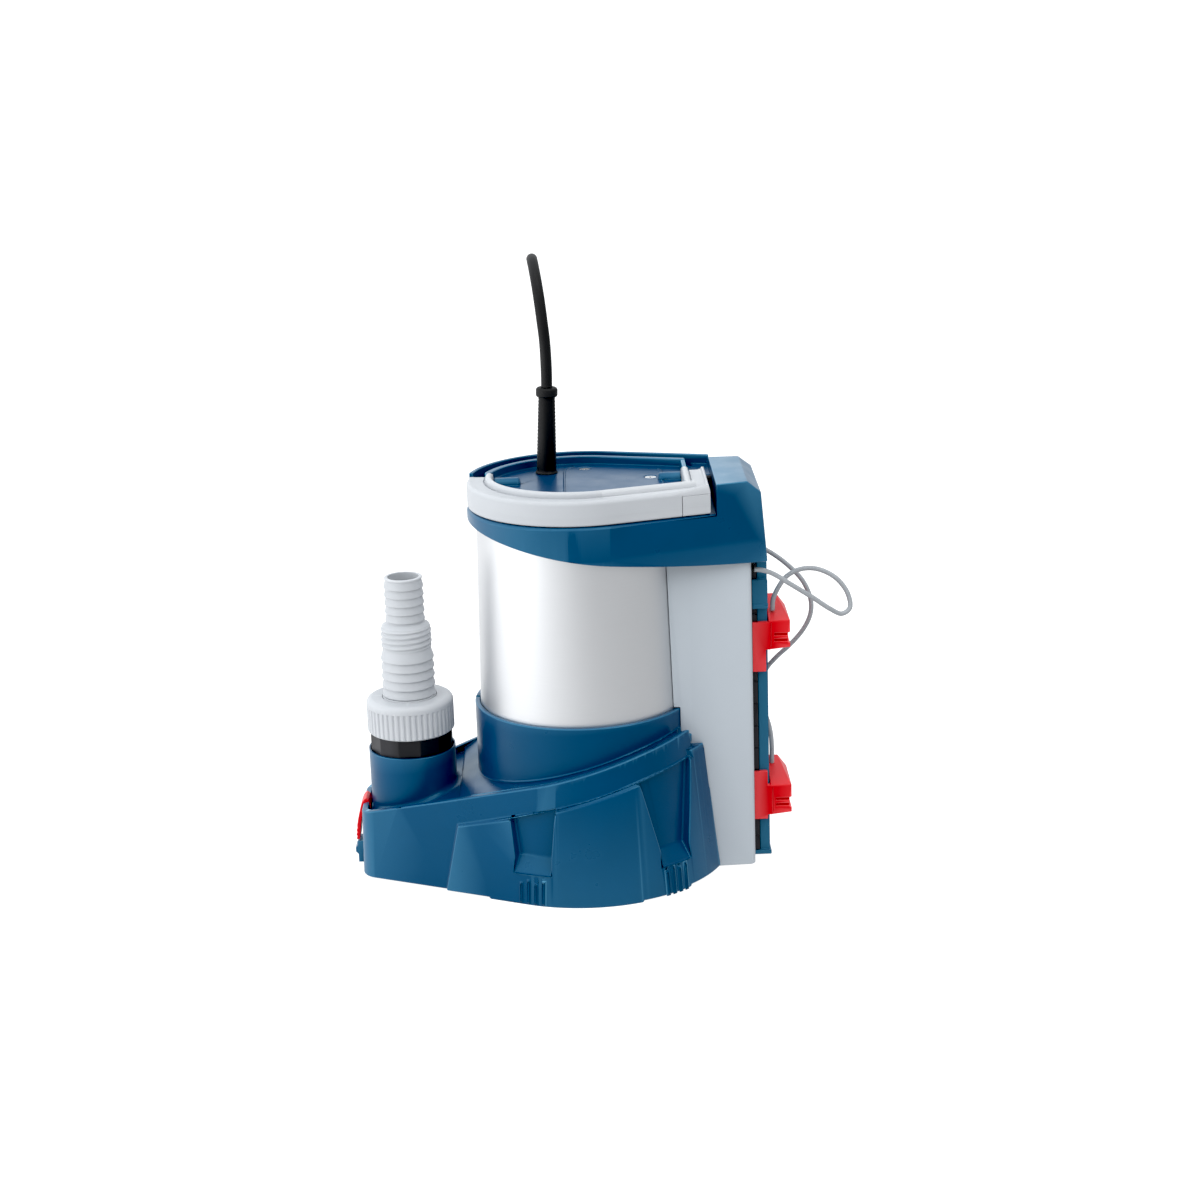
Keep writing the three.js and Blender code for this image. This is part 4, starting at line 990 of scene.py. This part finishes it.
def deck_fillet(x, r, size, sides):
    """Concave ring that blends an upright tube into the sloping deck."""
    steps = 6
    section = [(size + r, -6)]
    for k in range(steps + 1):
        t = math.pi / 2 * k / steps
        section.append((r + size * (1 - math.sin(t)), size * (1 - math.cos(t)) - 0.05))
    section += [(r - 2, size), (r - 2, -6)]
    count = len(section)
    points = []
    faces = []
    for i in range(sides):
        a = 2 * math.pi * i / sides
        for rr, above in section:
            px = x + rr * math.cos(a)
            points.append((px, rr * math.sin(a), edge_z(px) - DECK_DROP + above))
        j = (i + 1) % sides
        for k in range(count):
            m = (k + 1) % count
            faces.append([i * count + k, j * count + k, j * count + m, i * count + m])
    return from_faces(points, faces)


build_base()


# ---- latch
def build_latch():
    outer = [
        (-149.2, 48), (-150.7, 47), (-151.9, 45.4), (-153.2, 42), (-154.3, 38), (-155.4, 33.5),
        (-156.3, 29), (-156.9, 25), (-157.2, 21), (-157, 18.4),
    ]
    inner = [
        (-154.9, 18.4), (-154.4, 22), (-153.9, 26.6), (-153.2, 31), (-152.1, 36.6), (-149.6, 39.2),
        (-146.4, 40.4), (-146.2, 43.6), (-147.4, 46.8),
    ]
    lever = prism([*outer, *inner], -7.5, 7.5, "Y")
    grips = [rod_y(-157.6 + 0.35 * i, -8, 8, 20.6 + 3.0 * i, 0.9, 16) for i in range(3)]
    lever = cut(lever, rod_y(LATCH_X, -20, 20, LATCH_Z, LATCH_HOLE_R, 24), *grips)
    return finish_piece(
        lever, "latch_lever", "latch", RED, ["base_latch"], edge=0.5, sharp=30,
    )


build_latch()


# ---- barrel
def build_barrel():
    z0, z1 = BARREL_LOW.z, BARREL_HIGH.z
    shell = turned(0, 0, [
        (barrel_r(z0) - 1.5, z0), (barrel_r(z0), z0), (barrel_r(z1), z1), (barrel_r(z1) - 1.5, z1),
    ], 240)
    return finish_piece(shell, "barrel_shell", "pump", STEEL, ["barrel_jacket"], edge=0.3)


build_barrel()


# ---- top cover
CORNER_R = 5
CORNER_AT = (COVER_X - CORNER_R, COVER_Y - CORNER_R)
# direction in which the straight sides face, in radians from +X
TANGENT = math.acos((COVER_R - CORNER_R) / math.hypot(*CORNER_AT)) + math.atan2(CORNER_AT[1], CORNER_AT[0])


def side_y(x, grow):
    """Half width of the cover's straight sides at x."""
    return (COVER_R + grow - math.cos(TANGENT) * x) / math.sin(TANGENT)


def cover_outline(grow, x_end=100.0, steps=150):
    """Plan outline of the cover, offset by grow and cut straight at x_end."""
    first = math.degrees(TANGENT)
    outline = arc(0, 0, COVER_R + grow, first, 360 - first, steps)
    return outline + [(x_end, -side_y(x_end, grow)), (x_end, side_y(x_end, grow))]


def cover_block(z0, z1, grow, x_end=100.0):
    return prism(cover_outline(grow, x_end), z0, z1)


def stacked(outlines):
    """Solid through closed outlines of equal length, each (outline, z), from the lowest to the highest."""
    return lofted([[(x, y, z) for x, y in outline] for outline, z in outlines])


def rounded(corners, r, steps=6):
    """Closed outline with its corners rounded."""
    outline = []
    for i, corner in enumerate(corners):
        at = Vector(corner)
        before = (Vector(corners[i - 1]) - at).normalized()
        after = (Vector(corners[(i + 1) % len(corners)]) - at).normalized()
        reach = r / math.tan(before.angle(after) / 2)
        for k in range(steps + 1):
            t = k / steps
            outline.append(tuple(at + (1 - t) ** 2 * reach * before + t * t * reach * after))
    return outline


def band_z(x):
    """Height of the band's lower edge, which dips towards the rear."""
    return 223 - 0.175 * x + 0.00062 * x * x


def below_band():
    """Everything below the band's lower edge."""
    edge = [(x, band_z(x)) for x in range(140, -121, -5)]
    return prism([(-120, 150), (140, 150), *edge], -130, 130, "Y")


CREASE_Z = 224  # below this the band and hood lean inwards
CREASE_LEAN = 0.13
SHOULDER = 2.2  # rounding below the handle
FAR_Y = PIVOT_Y + 9  # the raised far rim starts here


def hood_row(z, x1, grow, far_y=None):
    """Corners of the hood at one height, on the planes of the band's straight sides."""
    corners = []
    for x in (86, x1):
        y = side_y(x, grow)
        corners.append((x, -y, z))
        corners.append((x, (far_y + grow) if far_y else y, z))
    return corners


def hood_solid(grow):
    """Hood behind the handle: it carries on the band's sides up to a flat roof with a rear chamfer."""
    lean = CREASE_LEAN * (CREASE_Z - HOOD_FOOT)
    low_end = hood_row(HOOD_FOOT, 122.5 + grow, grow - lean)
    crease = hood_row(CREASE_Z, 120.1 + grow, grow)
    brow = hood_row(257.8 + grow, 117.3 + grow, grow)
    roof = hood_row(TOP_Z + grow, 108.3 + grow, grow, 33)
    return join(hull(low_end + crease), hull(crease + brow + roof))


def band_solid():
    """Side band of the cover: leaning below the crease, with a rounded shoulder under the handle."""
    x_end = HOOD_X0 + 2
    levels = [
        (HOOD_FOOT, -CREASE_LEAN * (CREASE_Z - HOOD_FOOT)), (CREASE_Z, 0), (LEDGE_Z - SHOULDER, 0),
        (LEDGE_Z - 0.65 * SHOULDER, -0.1 * SHOULDER), (LEDGE_Z - 0.3 * SHOULDER, -0.35 * SHOULDER),
        (LEDGE_Z - 0.08 * SHOULDER, -0.7 * SHOULDER), (LEDGE_Z, -SHOULDER),
    ]
    return stacked([(cover_outline(grow, x_end), z) for z, grow in levels])


def deck_line():
    """Fine raised line round the middle of the deck."""
    corners = [(-8, -62), (57, -46), (57, 46), (-8, 62)]
    line = cut(
        prism(rounded(corners, 22), DECK_Z - 1, DECK_Z + 0.5),
        prism(rounded([(x + (0.8 if x < 0 else -0.8), y * 0.986) for x, y in corners], 21.2), 240, 300),
    )
    return keep(line, cover_block(200, 300, -HANDLE_W - 3, HANDLE_END_X - HANDLE_W - 3))


COVER_SCREWS = [centre(f"cover_screw_{i}")[:2] for i in (1, 2)]
RIM_W = 2.6  # the far rim, from the outer face inwards
RIB_OUT = 8.5  # the far rib's outer and inner faces, inwards from the cover's outer face
RIB_IN = 12.8
SINK_R = 3.6  # foot of the countersinks for the cover's screws


def far_edges():
    """Raised rim round the far half, the rib inside it, and the step at the rib's rear end."""
    rim = keep(
        cut(cover_block(DECK_Z - 1, RIM_Z, 0, HOOD_X0 + 1), cover_block(240, 300, -RIM_W, HOOD_X0 + 3)),
        box(-100, HOOD_X0 + 1, FAR_Y, 100, 230, 300),
    )
    rib = keep(
        cut(cover_block(DECK_Z - 1, RIM_Z - 1.2, -RIB_OUT), cover_block(240, 300, -RIB_IN, 120)),
        box(-60, 73, FAR_Y + 1, 100, 230, 300),
    )
    step = keep(cover_block(DECK_Z - 1, RIM_Z - 1.2, -RIB_OUT), box(70.2, 73, FAR_Y + 3, 38, 240, 300))
    return rim, rib, step


def far_channel():
    """Groove between the far rim and the rib."""
    return keep(
        cut(cover_block(DECK_Z - 4, 300, -RIM_W), cover_block(240, 310, -RIB_OUT, 120)),
        box(-66, 78, FAR_Y + 1, 100, 230, 320),
    )


def pivot_bosses():
    """Round bosses that hold the handle's pins, each with a tapered tip towards the middle of the deck."""
    r = 4.5
    tip_r = 3.4
    profiles = [
        [(0, -53.2), (r, -53.2), (r, -38), (tip_r, -36.6), (0, -36.6)],
        [(0, 53.6), (tip_r, 53.6), (r, 55), (r, 68.3), (0, 68.3)],
    ]
    return [turned(PIVOT_Y, PIVOT_Z + 0.6, profile, 48, "X") for profile in profiles]


def cover_hollows():
    """Space inside the cover, and the holes for the cord, the handle's pins and the screws."""
    hollows = [
        below_band(),
        barrel_solid(190, BARREL_HIGH.z + GAP, GAP),
        rod(0, 0, 200, DECK_Z - 3, 52),
        keep(cover_block(180, LEDGE_Z - 3, -3), box(30, 90, -90, 90, 150, 300)),
        keep(hood_solid(-3), box(HOOD_X0 + 3, 140, -90, 90, 150, 300)),
        keep(hood_solid(-3), box(80, 140, -90, 90, 150, LEDGE_Z - 3)),
        rod(BOOT_X, BOOT_Y, 200, 300, 4.6, sides=48),
        rod_x(-62, -38.5, PIVOT_Y, PIVOT_Z, PIVOT_HOLE_R, 24),
        rod_x(55.5, HOOD_X0 + 2, PIVOT_Y, PIVOT_Z, PIVOT_HOLE_R, 24),
    ]
    for x, y in COVER_SCREWS:
        sink = [(0, DECK_Z - 2.2), (SINK_R, DECK_Z - 2.2), (SINK_R + 1, DECK_Z + 0.1), (0, DECK_Z + 0.1)]
        hollows.append(rod(x, y, DECK_Z - 10, DECK_Z + 5, 1.9, sides=24))
        hollows.append(turned(x, y, sink, 48))
    return hollows


def build_cover():
    hood = keep(hood_solid(0), box(HOOD_X0, 140, -90, 90, 190, 300))
    near_deck = cover_block(240, DECK_Z, -HANDLE_W - 1.2, HANDLE_END_X - HANDLE_W + 0.4)
    far_half = keep(cover_block(240, DECK_Z, 0, HOOD_X0 + 1), box(-100, 100, FAR_Y, 100, 230, 300))
    cover = join(band_solid(), hood, near_deck, far_half, *far_edges())
    cover = cut(cover, far_channel())
    cover = join(cover, *pivot_bosses(), deck_line())
    cover = cut(cover, *cover_hollows())
    return finish_piece(
        cover, "cover_moulding", "pump", BLUE, ["top_cover"], edge=0.7, sharp=28,
    )


build_cover()


# ---- carrying handle
END_SHARE = 0.92  # width of the rear arm, as a share of the section's width
# cross-section as (distance in from the outer face, height, rise of the lip on the rear arm)
HANDLE_SECTION = [
    (0, 248.4, 0), (0, 252.9, 0), (-0.12, 253.2, 0), (0, 253.5, 0), (0, 260.4, 0.3),
    (0.3, 261.6, 1.2), (0.9, 262.6, 2.2), (1.7, 263.0, 2.4), (2.5, 263.1, 1.8), (3.1, 263.0, 0.4),
    (5, 262.7, 0), (11.0, 262.6, 0), (11.3, 261.7, 0), (11.9, 261.6, 0), (12.2, 264.3, 0),
    (13.0, 265.6, 0), (14.2, 266.2, 0), (15.4, 266.1, 0), (16.3, 265.4, 0), (16.9, 264.2, 0),
    (17, 262, 0), (17, 248.4, 0), (16.4, 247.2, 0), (15, 246.8, 0), (2, 246.8, 0), (0.6, 247.2, 0),
]


def round_place(a):
    """Way to offset the point of the round side at angle a."""
    return lambda g: ((COVER_R + g) * math.cos(a), (COVER_R + g) * math.sin(a))


def straight_place(x, slide):
    """Way to offset the point of the near straight side at x; slide moves it along X with the offset."""
    return lambda g: (x + g * slide, -side_y(x + g * slide, g))


def end_place(y):
    """Way to offset the point of the rear arm at y."""
    return lambda g: (HANDLE_END_X + END_SHARE * g, y)


def handle_stations():
    """Places that the section passes: a way to offset each one, and how far the lip has risen there."""
    reach = PIVOT_Y + (HANDLE_Z1 - HANDLE_Z0) / 2 + 1
    first = 180 - math.degrees(math.asin(reach / COVER_R))
    last = 360 - math.degrees(TANGENT)
    steps = 120
    angles = [math.radians(first + (last - first) * i / steps) for i in range(steps + 1)]
    stations = [(round_place(a), 0) for a in angles]
    for x in (30, 40, 50, 60, 70, 80):
        stations.append((straight_place(x, math.cos(TANGENT)), smooth((x - 60) / 26)))
    stations.append((straight_place(HANDLE_END_X, END_SHARE), 1))
    for y in (-20, 0, reach):
        stations.append((end_place(y), 1))
    return stations


def handle_solid():
    """The section swept round the near half, with a mitred rear corner and round ends at the pivots."""
    rows = []
    for place, lip in handle_stations():
        rows.append([(*place(-0.4 - inward), z + rise * lip) for inward, z, rise in HANDLE_SECTION])
    tail_r = (HANDLE_Z1 - HANDLE_Z0) / 2
    bow = keep(lofted(rows), join(
        box(-100, 100, -100, PIVOT_Y, 200, 300),
        rod_x(-100, 100, PIVOT_Y, (HANDLE_Z0 + HANDLE_Z1) / 2, tail_r, 64),
        rod_x(-100, 100, PIVOT_Y, HANDLE_Z1 - 2.5, 4.4, 48),
    ))
    return cut(
        bow,
        box(-54.4, -40, PIVOT_Y, 60, 200, 300),
        rod_x(-80, -50, PIVOT_Y, PIVOT_Z, PIVOT_HOLE_R, 24),
        rod_x(60, 90, PIVOT_Y, PIVOT_Z, PIVOT_HOLE_R, 24),
    )


def cap_block(side, top):
    """Block round the handle's end cap, larger by side and top."""
    return box(66.5 - side, 120, -100, -34 + side, 200, HANDLE_Z1 - 3.4 + top)


def build_handle():
    handle = cut(handle_solid(), cap_block(GAP, 0.1))
    finish_piece(
        handle, "handle_bow", "handle", GREY, ["carrying_handle"], edge=0.25, sharp=50,
    )
    cap = keep(handle_solid(), cap_block(0, 0))
    finish_piece(
        cap, "handle_cap", "handle", GREY, ["handle_end_cap"], edge=0.25, sharp=50,
    )


build_handle()


# ---- rear housing
def housing_outline(grow):
    y = HOUSING_Y + grow
    x1 = HOUSING_X + grow
    near = [(50, -y - 0.6), (70, -y - 0.6), (x1 - 3, -y + 1.6), (x1 - 0.9, -y + 2.5), (x1, -y + 4.6)]
    return near + [(x, -v) for x, v in reversed(near)]


def build_housing():
    shell = prism(housing_outline(0), HOUSING_LOW.z, HOUSING_HIGH.z)
    hollow = cut(
        prism(housing_outline(-2.4), HOUSING_LOW.z + 2.6, 300),
        rod(0, 0, -5, COLLAR_Z + 3, COLLAR_R + 3, sides=180),
        rod(0, 0, -5, 48, 82.6, sides=180),
        barrel_solid(COLLAR_Z - 1, 320, 2.8),
    )
    shell = cut(
        shell,
        rod(0, 0, -5, COLLAR_Z + 0.5, COLLAR_R + GAP, sides=180),
        rod(0, 0, -5, 45, 80, sides=180),
        barrel_solid(COLLAR_Z - 1, HOUSING_HIGH.z + 3, GAP),
        hollow,
        *[rod_x(HOUSING_X - 5, HOUSING_X + 5, y, z, 3.3, 32) for _, y, z in (LEAD_A[0], LEAD_B[0])],
    )
    return finish_piece(
        shell, "electronics_housing", "pump", HOUSING, ["rear_housing"], edge=0.7,
    )


build_housing()


# ---- discharge side
def build_nipple():
    """Faceted nipple with a thread above, a bore, and a ledge and cross hole for the flap."""
    body = prism(arc(OUTLET_X, 0, 27.8, 15, 345, 11), 80, 94)
    body = join(body, rod(OUTLET_X, 0, 60, 81, 24), threaded(OUTLET_X, 22.6, 23.4, 93, 110, 2.6))
    body = cut(
        body,
        rod(OUTLET_X, 0, 50, 66.3, 20.3),
        rod(OUTLET_X, 0, 50, 120, 11.5),
        rod(OUTLET_X, 0, 69.5, 120, 15.5),
        rod_y(OUTLET_X + 12.4, -17.5, 17.5, 72.2, 0.95, 16),
    )
    return finish_piece(
        body, "nipple", "pump", BLACK, ["discharge_nipple"], edge=0.4, sharp=28,
    )


def thread_height(z, a, z0, z1, pitch, power):
    """Height of a rounded thread at an angle, from 0 to 1, fading out at both ends."""
    wave = 0.5 + 0.5 * math.cos(2 * math.pi * (z / pitch) - a)
    return wave ** power * smooth((z - z0) / 1.2) * smooth((z1 - z) / 1.2)


def threaded(x, r_root, r_crest, z0, z1, pitch, sides=72):
    """Rod with a rounded screw thread."""
    steps = max(8, int((z1 - z0) / pitch * 8))
    profile = [(0, z0)] + [(r_crest, z0 + (z1 - z0) * i / steps) for i in range(steps + 1)] + [(0, z1)]

    def radius(r, z, a):
        return r_root + (r_crest - r_root) * thread_height(z, a, z0, z1, pitch, 1.5) if r > 0 else 0

    return turned(x, 0, profile, sides, "Z", radius)


NUT_RIBS = 46


def build_nut():
    r = 29
    outline = []
    for i in range(NUT_RIBS):
        for share, depth in ((0, 0.9), (0.14, 0.72), (0.28, 0.15), (0.42, 0), (0.72, 0), (0.86, 0.3)):
            a = 2 * math.pi * (i + share) / NUT_RIBS
            outline.append((OUTLET_X + (r - depth) * math.cos(a), (r - depth) * math.sin(a)))
    z0, z1 = [corner.z for corner in extent("union_nut")]
    nut = prism(outline, z0 + 0.8, 112.6)
    shoulder = turned(OUTLET_X, 0, [
        (0, 112), (28.7, 112), (29, 112.4), (29, 114.4), (28.7, 115.6), (27.9, 116.8), (26.6, 117.6),
        (25, z1), (0, z1),
    ], 144)
    foot = rod(OUTLET_X, 0, z0, z0 + 1.2, 28)
    nut = join(nut, shoulder, foot)
    nut = cut(nut, rod(OUTLET_X, 0, 80, 114.9, 23.8), rod(OUTLET_X, 0, 80, 130, 18.2))
    return finish_piece(
        nut, "nut_knurled", "nut", GREY, ["union_nut"], edge=0.25, sharp=50,
    )


def barb_ridges(z0, pitch, ridge):
    """Five saw-tooth ridges, each with the points of ridge as (radius, height above its foot)."""
    return [(r, z0 + pitch * i + z) for i in range(5) for r, z in ridge]


def build_hose_tail():
    """Stepped tail with a bore: foot, wide barb, threaded collar and narrow barb."""
    low, high = extent("hose_tail")
    thread_z0, thread_z1 = 151.4, 166.4
    steps = 40
    outside = [
        (13.8, low.z), (22.6, low.z), (22.6, 114.6), (17.9, 114.6), (17.9, 118.2), (17.4, 118.7),
        (16.2, 118.8),
    ]
    outside += barb_ridges(119, 6.2, [(16.5, -0.1), (17.5, 0.15), (17.7, 0.6), (17.6, 1.3), (16.3, 5.6)])
    outside += [(16, 150.4), (16.1, 151)]
    outside += [(16.8, thread_z0 + (thread_z1 - thread_z0) * i / steps) for i in range(steps + 1)]
    outside += [(15.6, 167.2), (12.9, 168.8), (12.3, 169.4)]
    outside += barb_ridges(170.4, 5.6, [(12.4, -0.1), (13.05, 0.15), (13.2, 0.6), (13.1, 1.2), (12.15, 5)])
    outside += [(12.4, 198.6), (12.7, 199.2), (12.5, high.z - 0.15), (12.1, high.z), (10.5, high.z)]
    bore = [(10.3, high.z - 0.4), (10.3, 167), (13.8, 160)]

    def radius(r, z, a):
        if not thread_z0 <= z <= thread_z1 or r < 16.5:
            return r
        return 15.9 + 0.95 * thread_height(z, a, thread_z0, thread_z1, 3.7, 0.8)

    tail = turned(OUTLET_X, 0, outside + bore, 96, "Z", radius)
    return finish_piece(
        tail, "hose_tail_stepped", "pump", GREY, ["hose_tail"], edge=0, sharp=55,
    )


build_nipple()
build_nut()
build_hose_tail()


# ---- cable boot
def build_boot():
    """Tapered strain relief with fine rings and a collar at its top, leaning towards the rear."""
    profile = [(0, -7), (4, -7), (4, GAP), (7.4, GAP), (7.4, 1), (6.9, 1.6)]
    steps = 40
    for i in range(steps + 1):
        z = 2 + (BOOT_H - 9) * i / steps
        ring = 0.12 if i % 2 == 0 else -0.12
        profile.append((6.65 - 1.15 * i / steps + ring, z))
    profile += [
        (5.6, BOOT_H - 6.4), (6.7, BOOT_H - 6), (7.2, BOOT_H - 5.2), (7.2, BOOT_H - 1.4),
        (6.8, BOOT_H - 0.5), (6.0, BOOT_H), (0, BOOT_H),
    ]
    boot = turned(0, 0, profile, 48)
    boot.data.transform(Matrix.Translation((BOOT_X, BOOT_Y, DECK_Z)) @ Matrix.Rotation(BOOT_LEAN, 4, "Y"))
    return finish_piece(
        boot, "boot_sleeve", "pump", RUBBER, ["cable_boot"], edge=0, sharp=50,
    )


build_boot()


# ---- rail and probes
def build_strip():
    strip = box(STRIP_X0, RAIL_X0 - GAP, -RAIL_Y - 1.5, RAIL_Y + 1.5, 4, 204)
    notches = []
    for y in (-RAIL_Y - 1.5, RAIL_Y + 1.5):
        for i in range(12):
            z = 14 + 15.6 * i
            notches.append(box(STRIP_X0 + 1, RAIL_X0, y - 0.7, y + 0.7, z, z + 1.2))
    strip = cut(strip, *notches)
    return finish_piece(strip, "strip_notched", "pump", BLACK, ["guide_strip"], edge=0.3)


def build_rail():
    rail = box(RAIL_X0, RAIL_X1, -RAIL_Y, RAIL_Y, 2, 205)
    parts = [box(STRIP_X0 + 0.4, RAIL_X1 + 0.9, -RAIL_Y - 2.4, RAIL_Y + 2.4, 1, 3.7)]
    for side in (-1, 1):
        inner = side * (RAIL_Y + 1.8)
        outer = side * (RAIL_Y + 4.4)
        lip = side * (RAIL_Y + 5.2)
        edge = side * (RAIL_Y - 1)
        parts.append(box(RAIL_X0 - 3.6, RAIL_X1, *sorted((inner, outer)), 176, 194))
        parts.append(box(RAIL_X0, RAIL_X1, *sorted((edge, outer)), 176, 194))
        parts.append(box(RAIL_X0 - 3.6, RAIL_X1 + 0.1, *sorted((inner, lip)), 174.6, 177.6))
    rail = cut(join(rail, *parts), box(RAIL_X1 - 1.6, RAIL_X1 + 3, -6, 6, 8, 170))
    return finish_piece(
        rail, "rail_moulding", "pump", RAIL_BLUE_PAINTED_SHADE, ["sensor_rail"], edge=0.4,
    )


CONTACT_X = 130
CONTACT_Y = (-10, 10)


def build_probe(name, body, cheek_z, block_z, step_z):
    """Red probe: cheeks that clasp the rail, and a block with finger slots and a sloping roof."""
    x0 = RAIL_X1 + 0.5
    z0, z1 = block_z
    roof_x = PROBE_X1 - 6
    probe = hull([
        (x0, -PROBE_Y, z0), (x0, PROBE_Y, z0),
        (PROBE_X1, -PROBE_Y, z0 + 1.5), (PROBE_X1, PROBE_Y, z0 + 1.5),
        (x0, -PROBE_Y, z1), (PROBE_X1, -PROBE_Y, z1),
        (x0, PROBE_Y - 4, z1 + 9), (roof_x, PROBE_Y - 4, z1 + 9),
        (x0, PROBE_Y, z1 + 8), (roof_x, PROBE_Y, z1 + 8), (PROBE_X1, PROBE_Y, z1),
    ])
    parts = []
    for side in (-1, 1):
        outer = side * PROBE_Y
        inner = side * (RAIL_Y + GAP)
        wide = side * (RAIL_Y + 1.8)
        parts.append(box(RAIL_X0, RAIL_X1 + 1, *sorted((outer, inner)), *step_z))
        parts.append(box(STRIP_X0 + 0.6, RAIL_X0 + 1, *sorted((outer, wide)), *cheek_z))
        parts.append(box(RAIL_X0, 121, *sorted((outer, inner)), *cheek_z))
    probe = join(probe, *parts)
    mid_z = (z0 + z1) / 2
    holes = [rod(CONTACT_X, y, z0 - 6, z0 + 6.3, 1.65, sides=32) for y in CONTACT_Y]
    for side in (-1, 1):
        for z in (mid_z - 4.6, mid_z - 0.6):
            y = side * (PROBE_Y - 0.6)
            holes.append(box(126.5, PROBE_X1 + 1, y - 1.6, y + 1.6, z, z + 1.9))
    holes.append(box(PROBE_X1 - 1.2, PROBE_X1 + 1, -PROBE_Y - 1, PROBE_Y + 1, mid_z - 5.4, mid_z + 1.6))
    # fine seam where the clasp meets the block
    for side in (-1, 1):
        y = side * PROBE_Y
        holes.append(box(x0 + 1.2, x0 + 1.7, y - 0.5, y + 0.5, z0 + 2, z1 - 2))
    probe = cut(probe, *holes)
    return finish_piece(
        probe, f"{name}_probe_moulding", body, RED, [f"{name}_probe"], edge=0.45,
    )


build_strip()
build_rail()
build_probe("upper", "upper_probe_body", (131, 165), (146, 166), (146, 165))
build_probe("lower", "lower_probe_body", (27, 61), (30, 51), (30, 51))


# ---- nodes kept from the frame
KEPT = {
    BLUE: ["strainer_plate"],
    BLACK: [
        "volute_casing", "wear_plate", "run_capacitor", "level_relay", "handle_pin_left", "handle_pin_right",
    ],
    GREY: ["impeller", "terminal_block"],
    PIN_STEEL: [
        "latch_pin", "impeller_nut", "motor_shaft", "bearing_lower", "bearing_upper", "seal_head",
        "cover_screw_1", "cover_screw_2", "flap_pin", "upper_probe_contact_near", "upper_probe_contact_far",
        "lower_probe_contact_near", "lower_probe_contact_far",
    ],
    MOTOR_STEEL: ["motor_can", "bearing_bracket"],
    LAMINATION: ["stator_core", "rotor_core"],
    WINDING: ["winding_lower", "winding_upper"],
    CERAMIC: ["seal_seat"],
    BOARD: ["control_board"],
    RUBBER: ["nut_gasket", "check_flap", "upper_lead_gland", "lower_lead_gland"],
    BRASS: ["plug_pin_left", "plug_pin_right"],
}


def dress_kept_nodes():
    """Materials and rounded edges for the CAD nodes that show as they are."""
    for material, names in KEPT.items():
        for name in names:
            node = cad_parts[name]
            node.data.materials.clear()
            node.data.materials.append(material)
            weld = node.modifiers.new("weld", "WELD")
            weld.merge_threshold = 0.02 * MM
            bevel = node.modifiers.new("edges", "BEVEL")
            bevel.width = 0.25 * MM
            bevel.segments = 2
            bevel.limit_method = "ANGLE"
            bevel.angle_limit = math.radians(40)


dress_kept_nodes()


# ---- studio
BLACK_LEVEL = 0.014  # takes a thin grey veil off the picture


def build_floor():
    """Pale paper floor that glows white to the camera, and is brighter on the left in reflections."""
    size = 40
    mesh = bpy.data.meshes.new("floor")
    corners = [(-size, -size, 0), (size, -size, 0), (size, size, 0), (-size, size, 0)]
    mesh.from_pydata(corners, [], [(0, 1, 2, 3)])
    floor = new_object("floor", mesh)
    s = Surface("floor_paper")
    s.drive("Base Color", s.mix(s.noise(3, 2), (0.30, 0.30, 0.30), (0.32, 0.32, 0.32)))
    s.fix("Roughness", 0.9)
    s.fix("Emission Color", (1, 1, 1, 1))
    lean = s.add("ShaderNodeVectorMath", operation="DOT_PRODUCT")
    s.link(s.place, lean.inputs[0])
    lean.inputs[1].default_value = (-1, 0.2, 0)
    across = s.remap(lean.outputs["Value"], -0.3, 0.3, 0.22, 0.80)
    seen = s.add("ShaderNodeLightPath").outputs["Is Camera Ray"]
    glow = s.add("ShaderNodeMix", data_type="FLOAT")
    s.link(seen, glow.inputs["Factor"])
    s.link(across, glow.inputs["A"])
    glow.inputs["B"].default_value = 0.95
    s.drive("Emission Strength", glow.outputs["Result"])
    mesh.materials.append(s.material)


def softbox(name, at, size, power):
    """Rectangular area light that faces the middle of the pump."""
    data = bpy.data.lights.new(name, "AREA")
    data.shape = "RECTANGLE"
    data.size, data.size_y = size
    data.energy = power
    obj = new_object(name, data)
    obj.location = at
    obj.visible_camera = False
    target = Vector((0, 0, 0.15))
    obj.rotation_euler = (target - Vector(at)).to_track_quat("-Z", "Y").to_euler()


def build_light():
    """Soft sky that is brightest on the left, behind and above, with four softboxes."""
    world = bpy.data.worlds.new("studio")
    world.use_nodes = True
    nodes = world.node_tree.nodes
    links = world.node_tree.links
    background = nodes["Background"]
    background.inputs["Color"].default_value = (0.95, 0.975, 1.0, 1)
    lean = nodes.new("ShaderNodeVectorMath")
    lean.operation = "DOT_PRODUCT"
    links.new(nodes.new("ShaderNodeTexCoord").outputs["Generated"], lean.inputs[0])
    lean.inputs[1].default_value = (-0.60, 0.65, 0.46)
    level = nodes.new("ShaderNodeMapRange")
    level.inputs["From Min"].default_value = -0.9
    level.inputs["From Max"].default_value = 0.9
    level.inputs["To Min"].default_value = 0.28
    level.inputs["To Max"].default_value = 1.45
    links.new(lean.outputs["Value"], level.inputs["Value"])
    links.new(level.outputs["Result"], background.inputs["Strength"])
    scene.world = world
    softbox("key", (-1.5, -1.6, 1.5), (1.2, 1.4), 8)
    softbox("front", (1.1, -1.3, 1.5), (1.2, 1.0), 12)
    softbox("top", (0.1, -0.7, 2.4), (2.2, 1.4), 14)
    softbox("left", (-1.05, -0.3, 0.3), (1.2, 0.6), 3.5)


build_floor()
build_light()
scene.view_settings.view_transform = "Standard"
scene.view_settings.use_curve_mapping = True
scene.view_settings.curve_mapping.black_level = (BLACK_LEVEL, BLACK_LEVEL, BLACK_LEVEL)
scene.view_settings.curve_mapping.update()
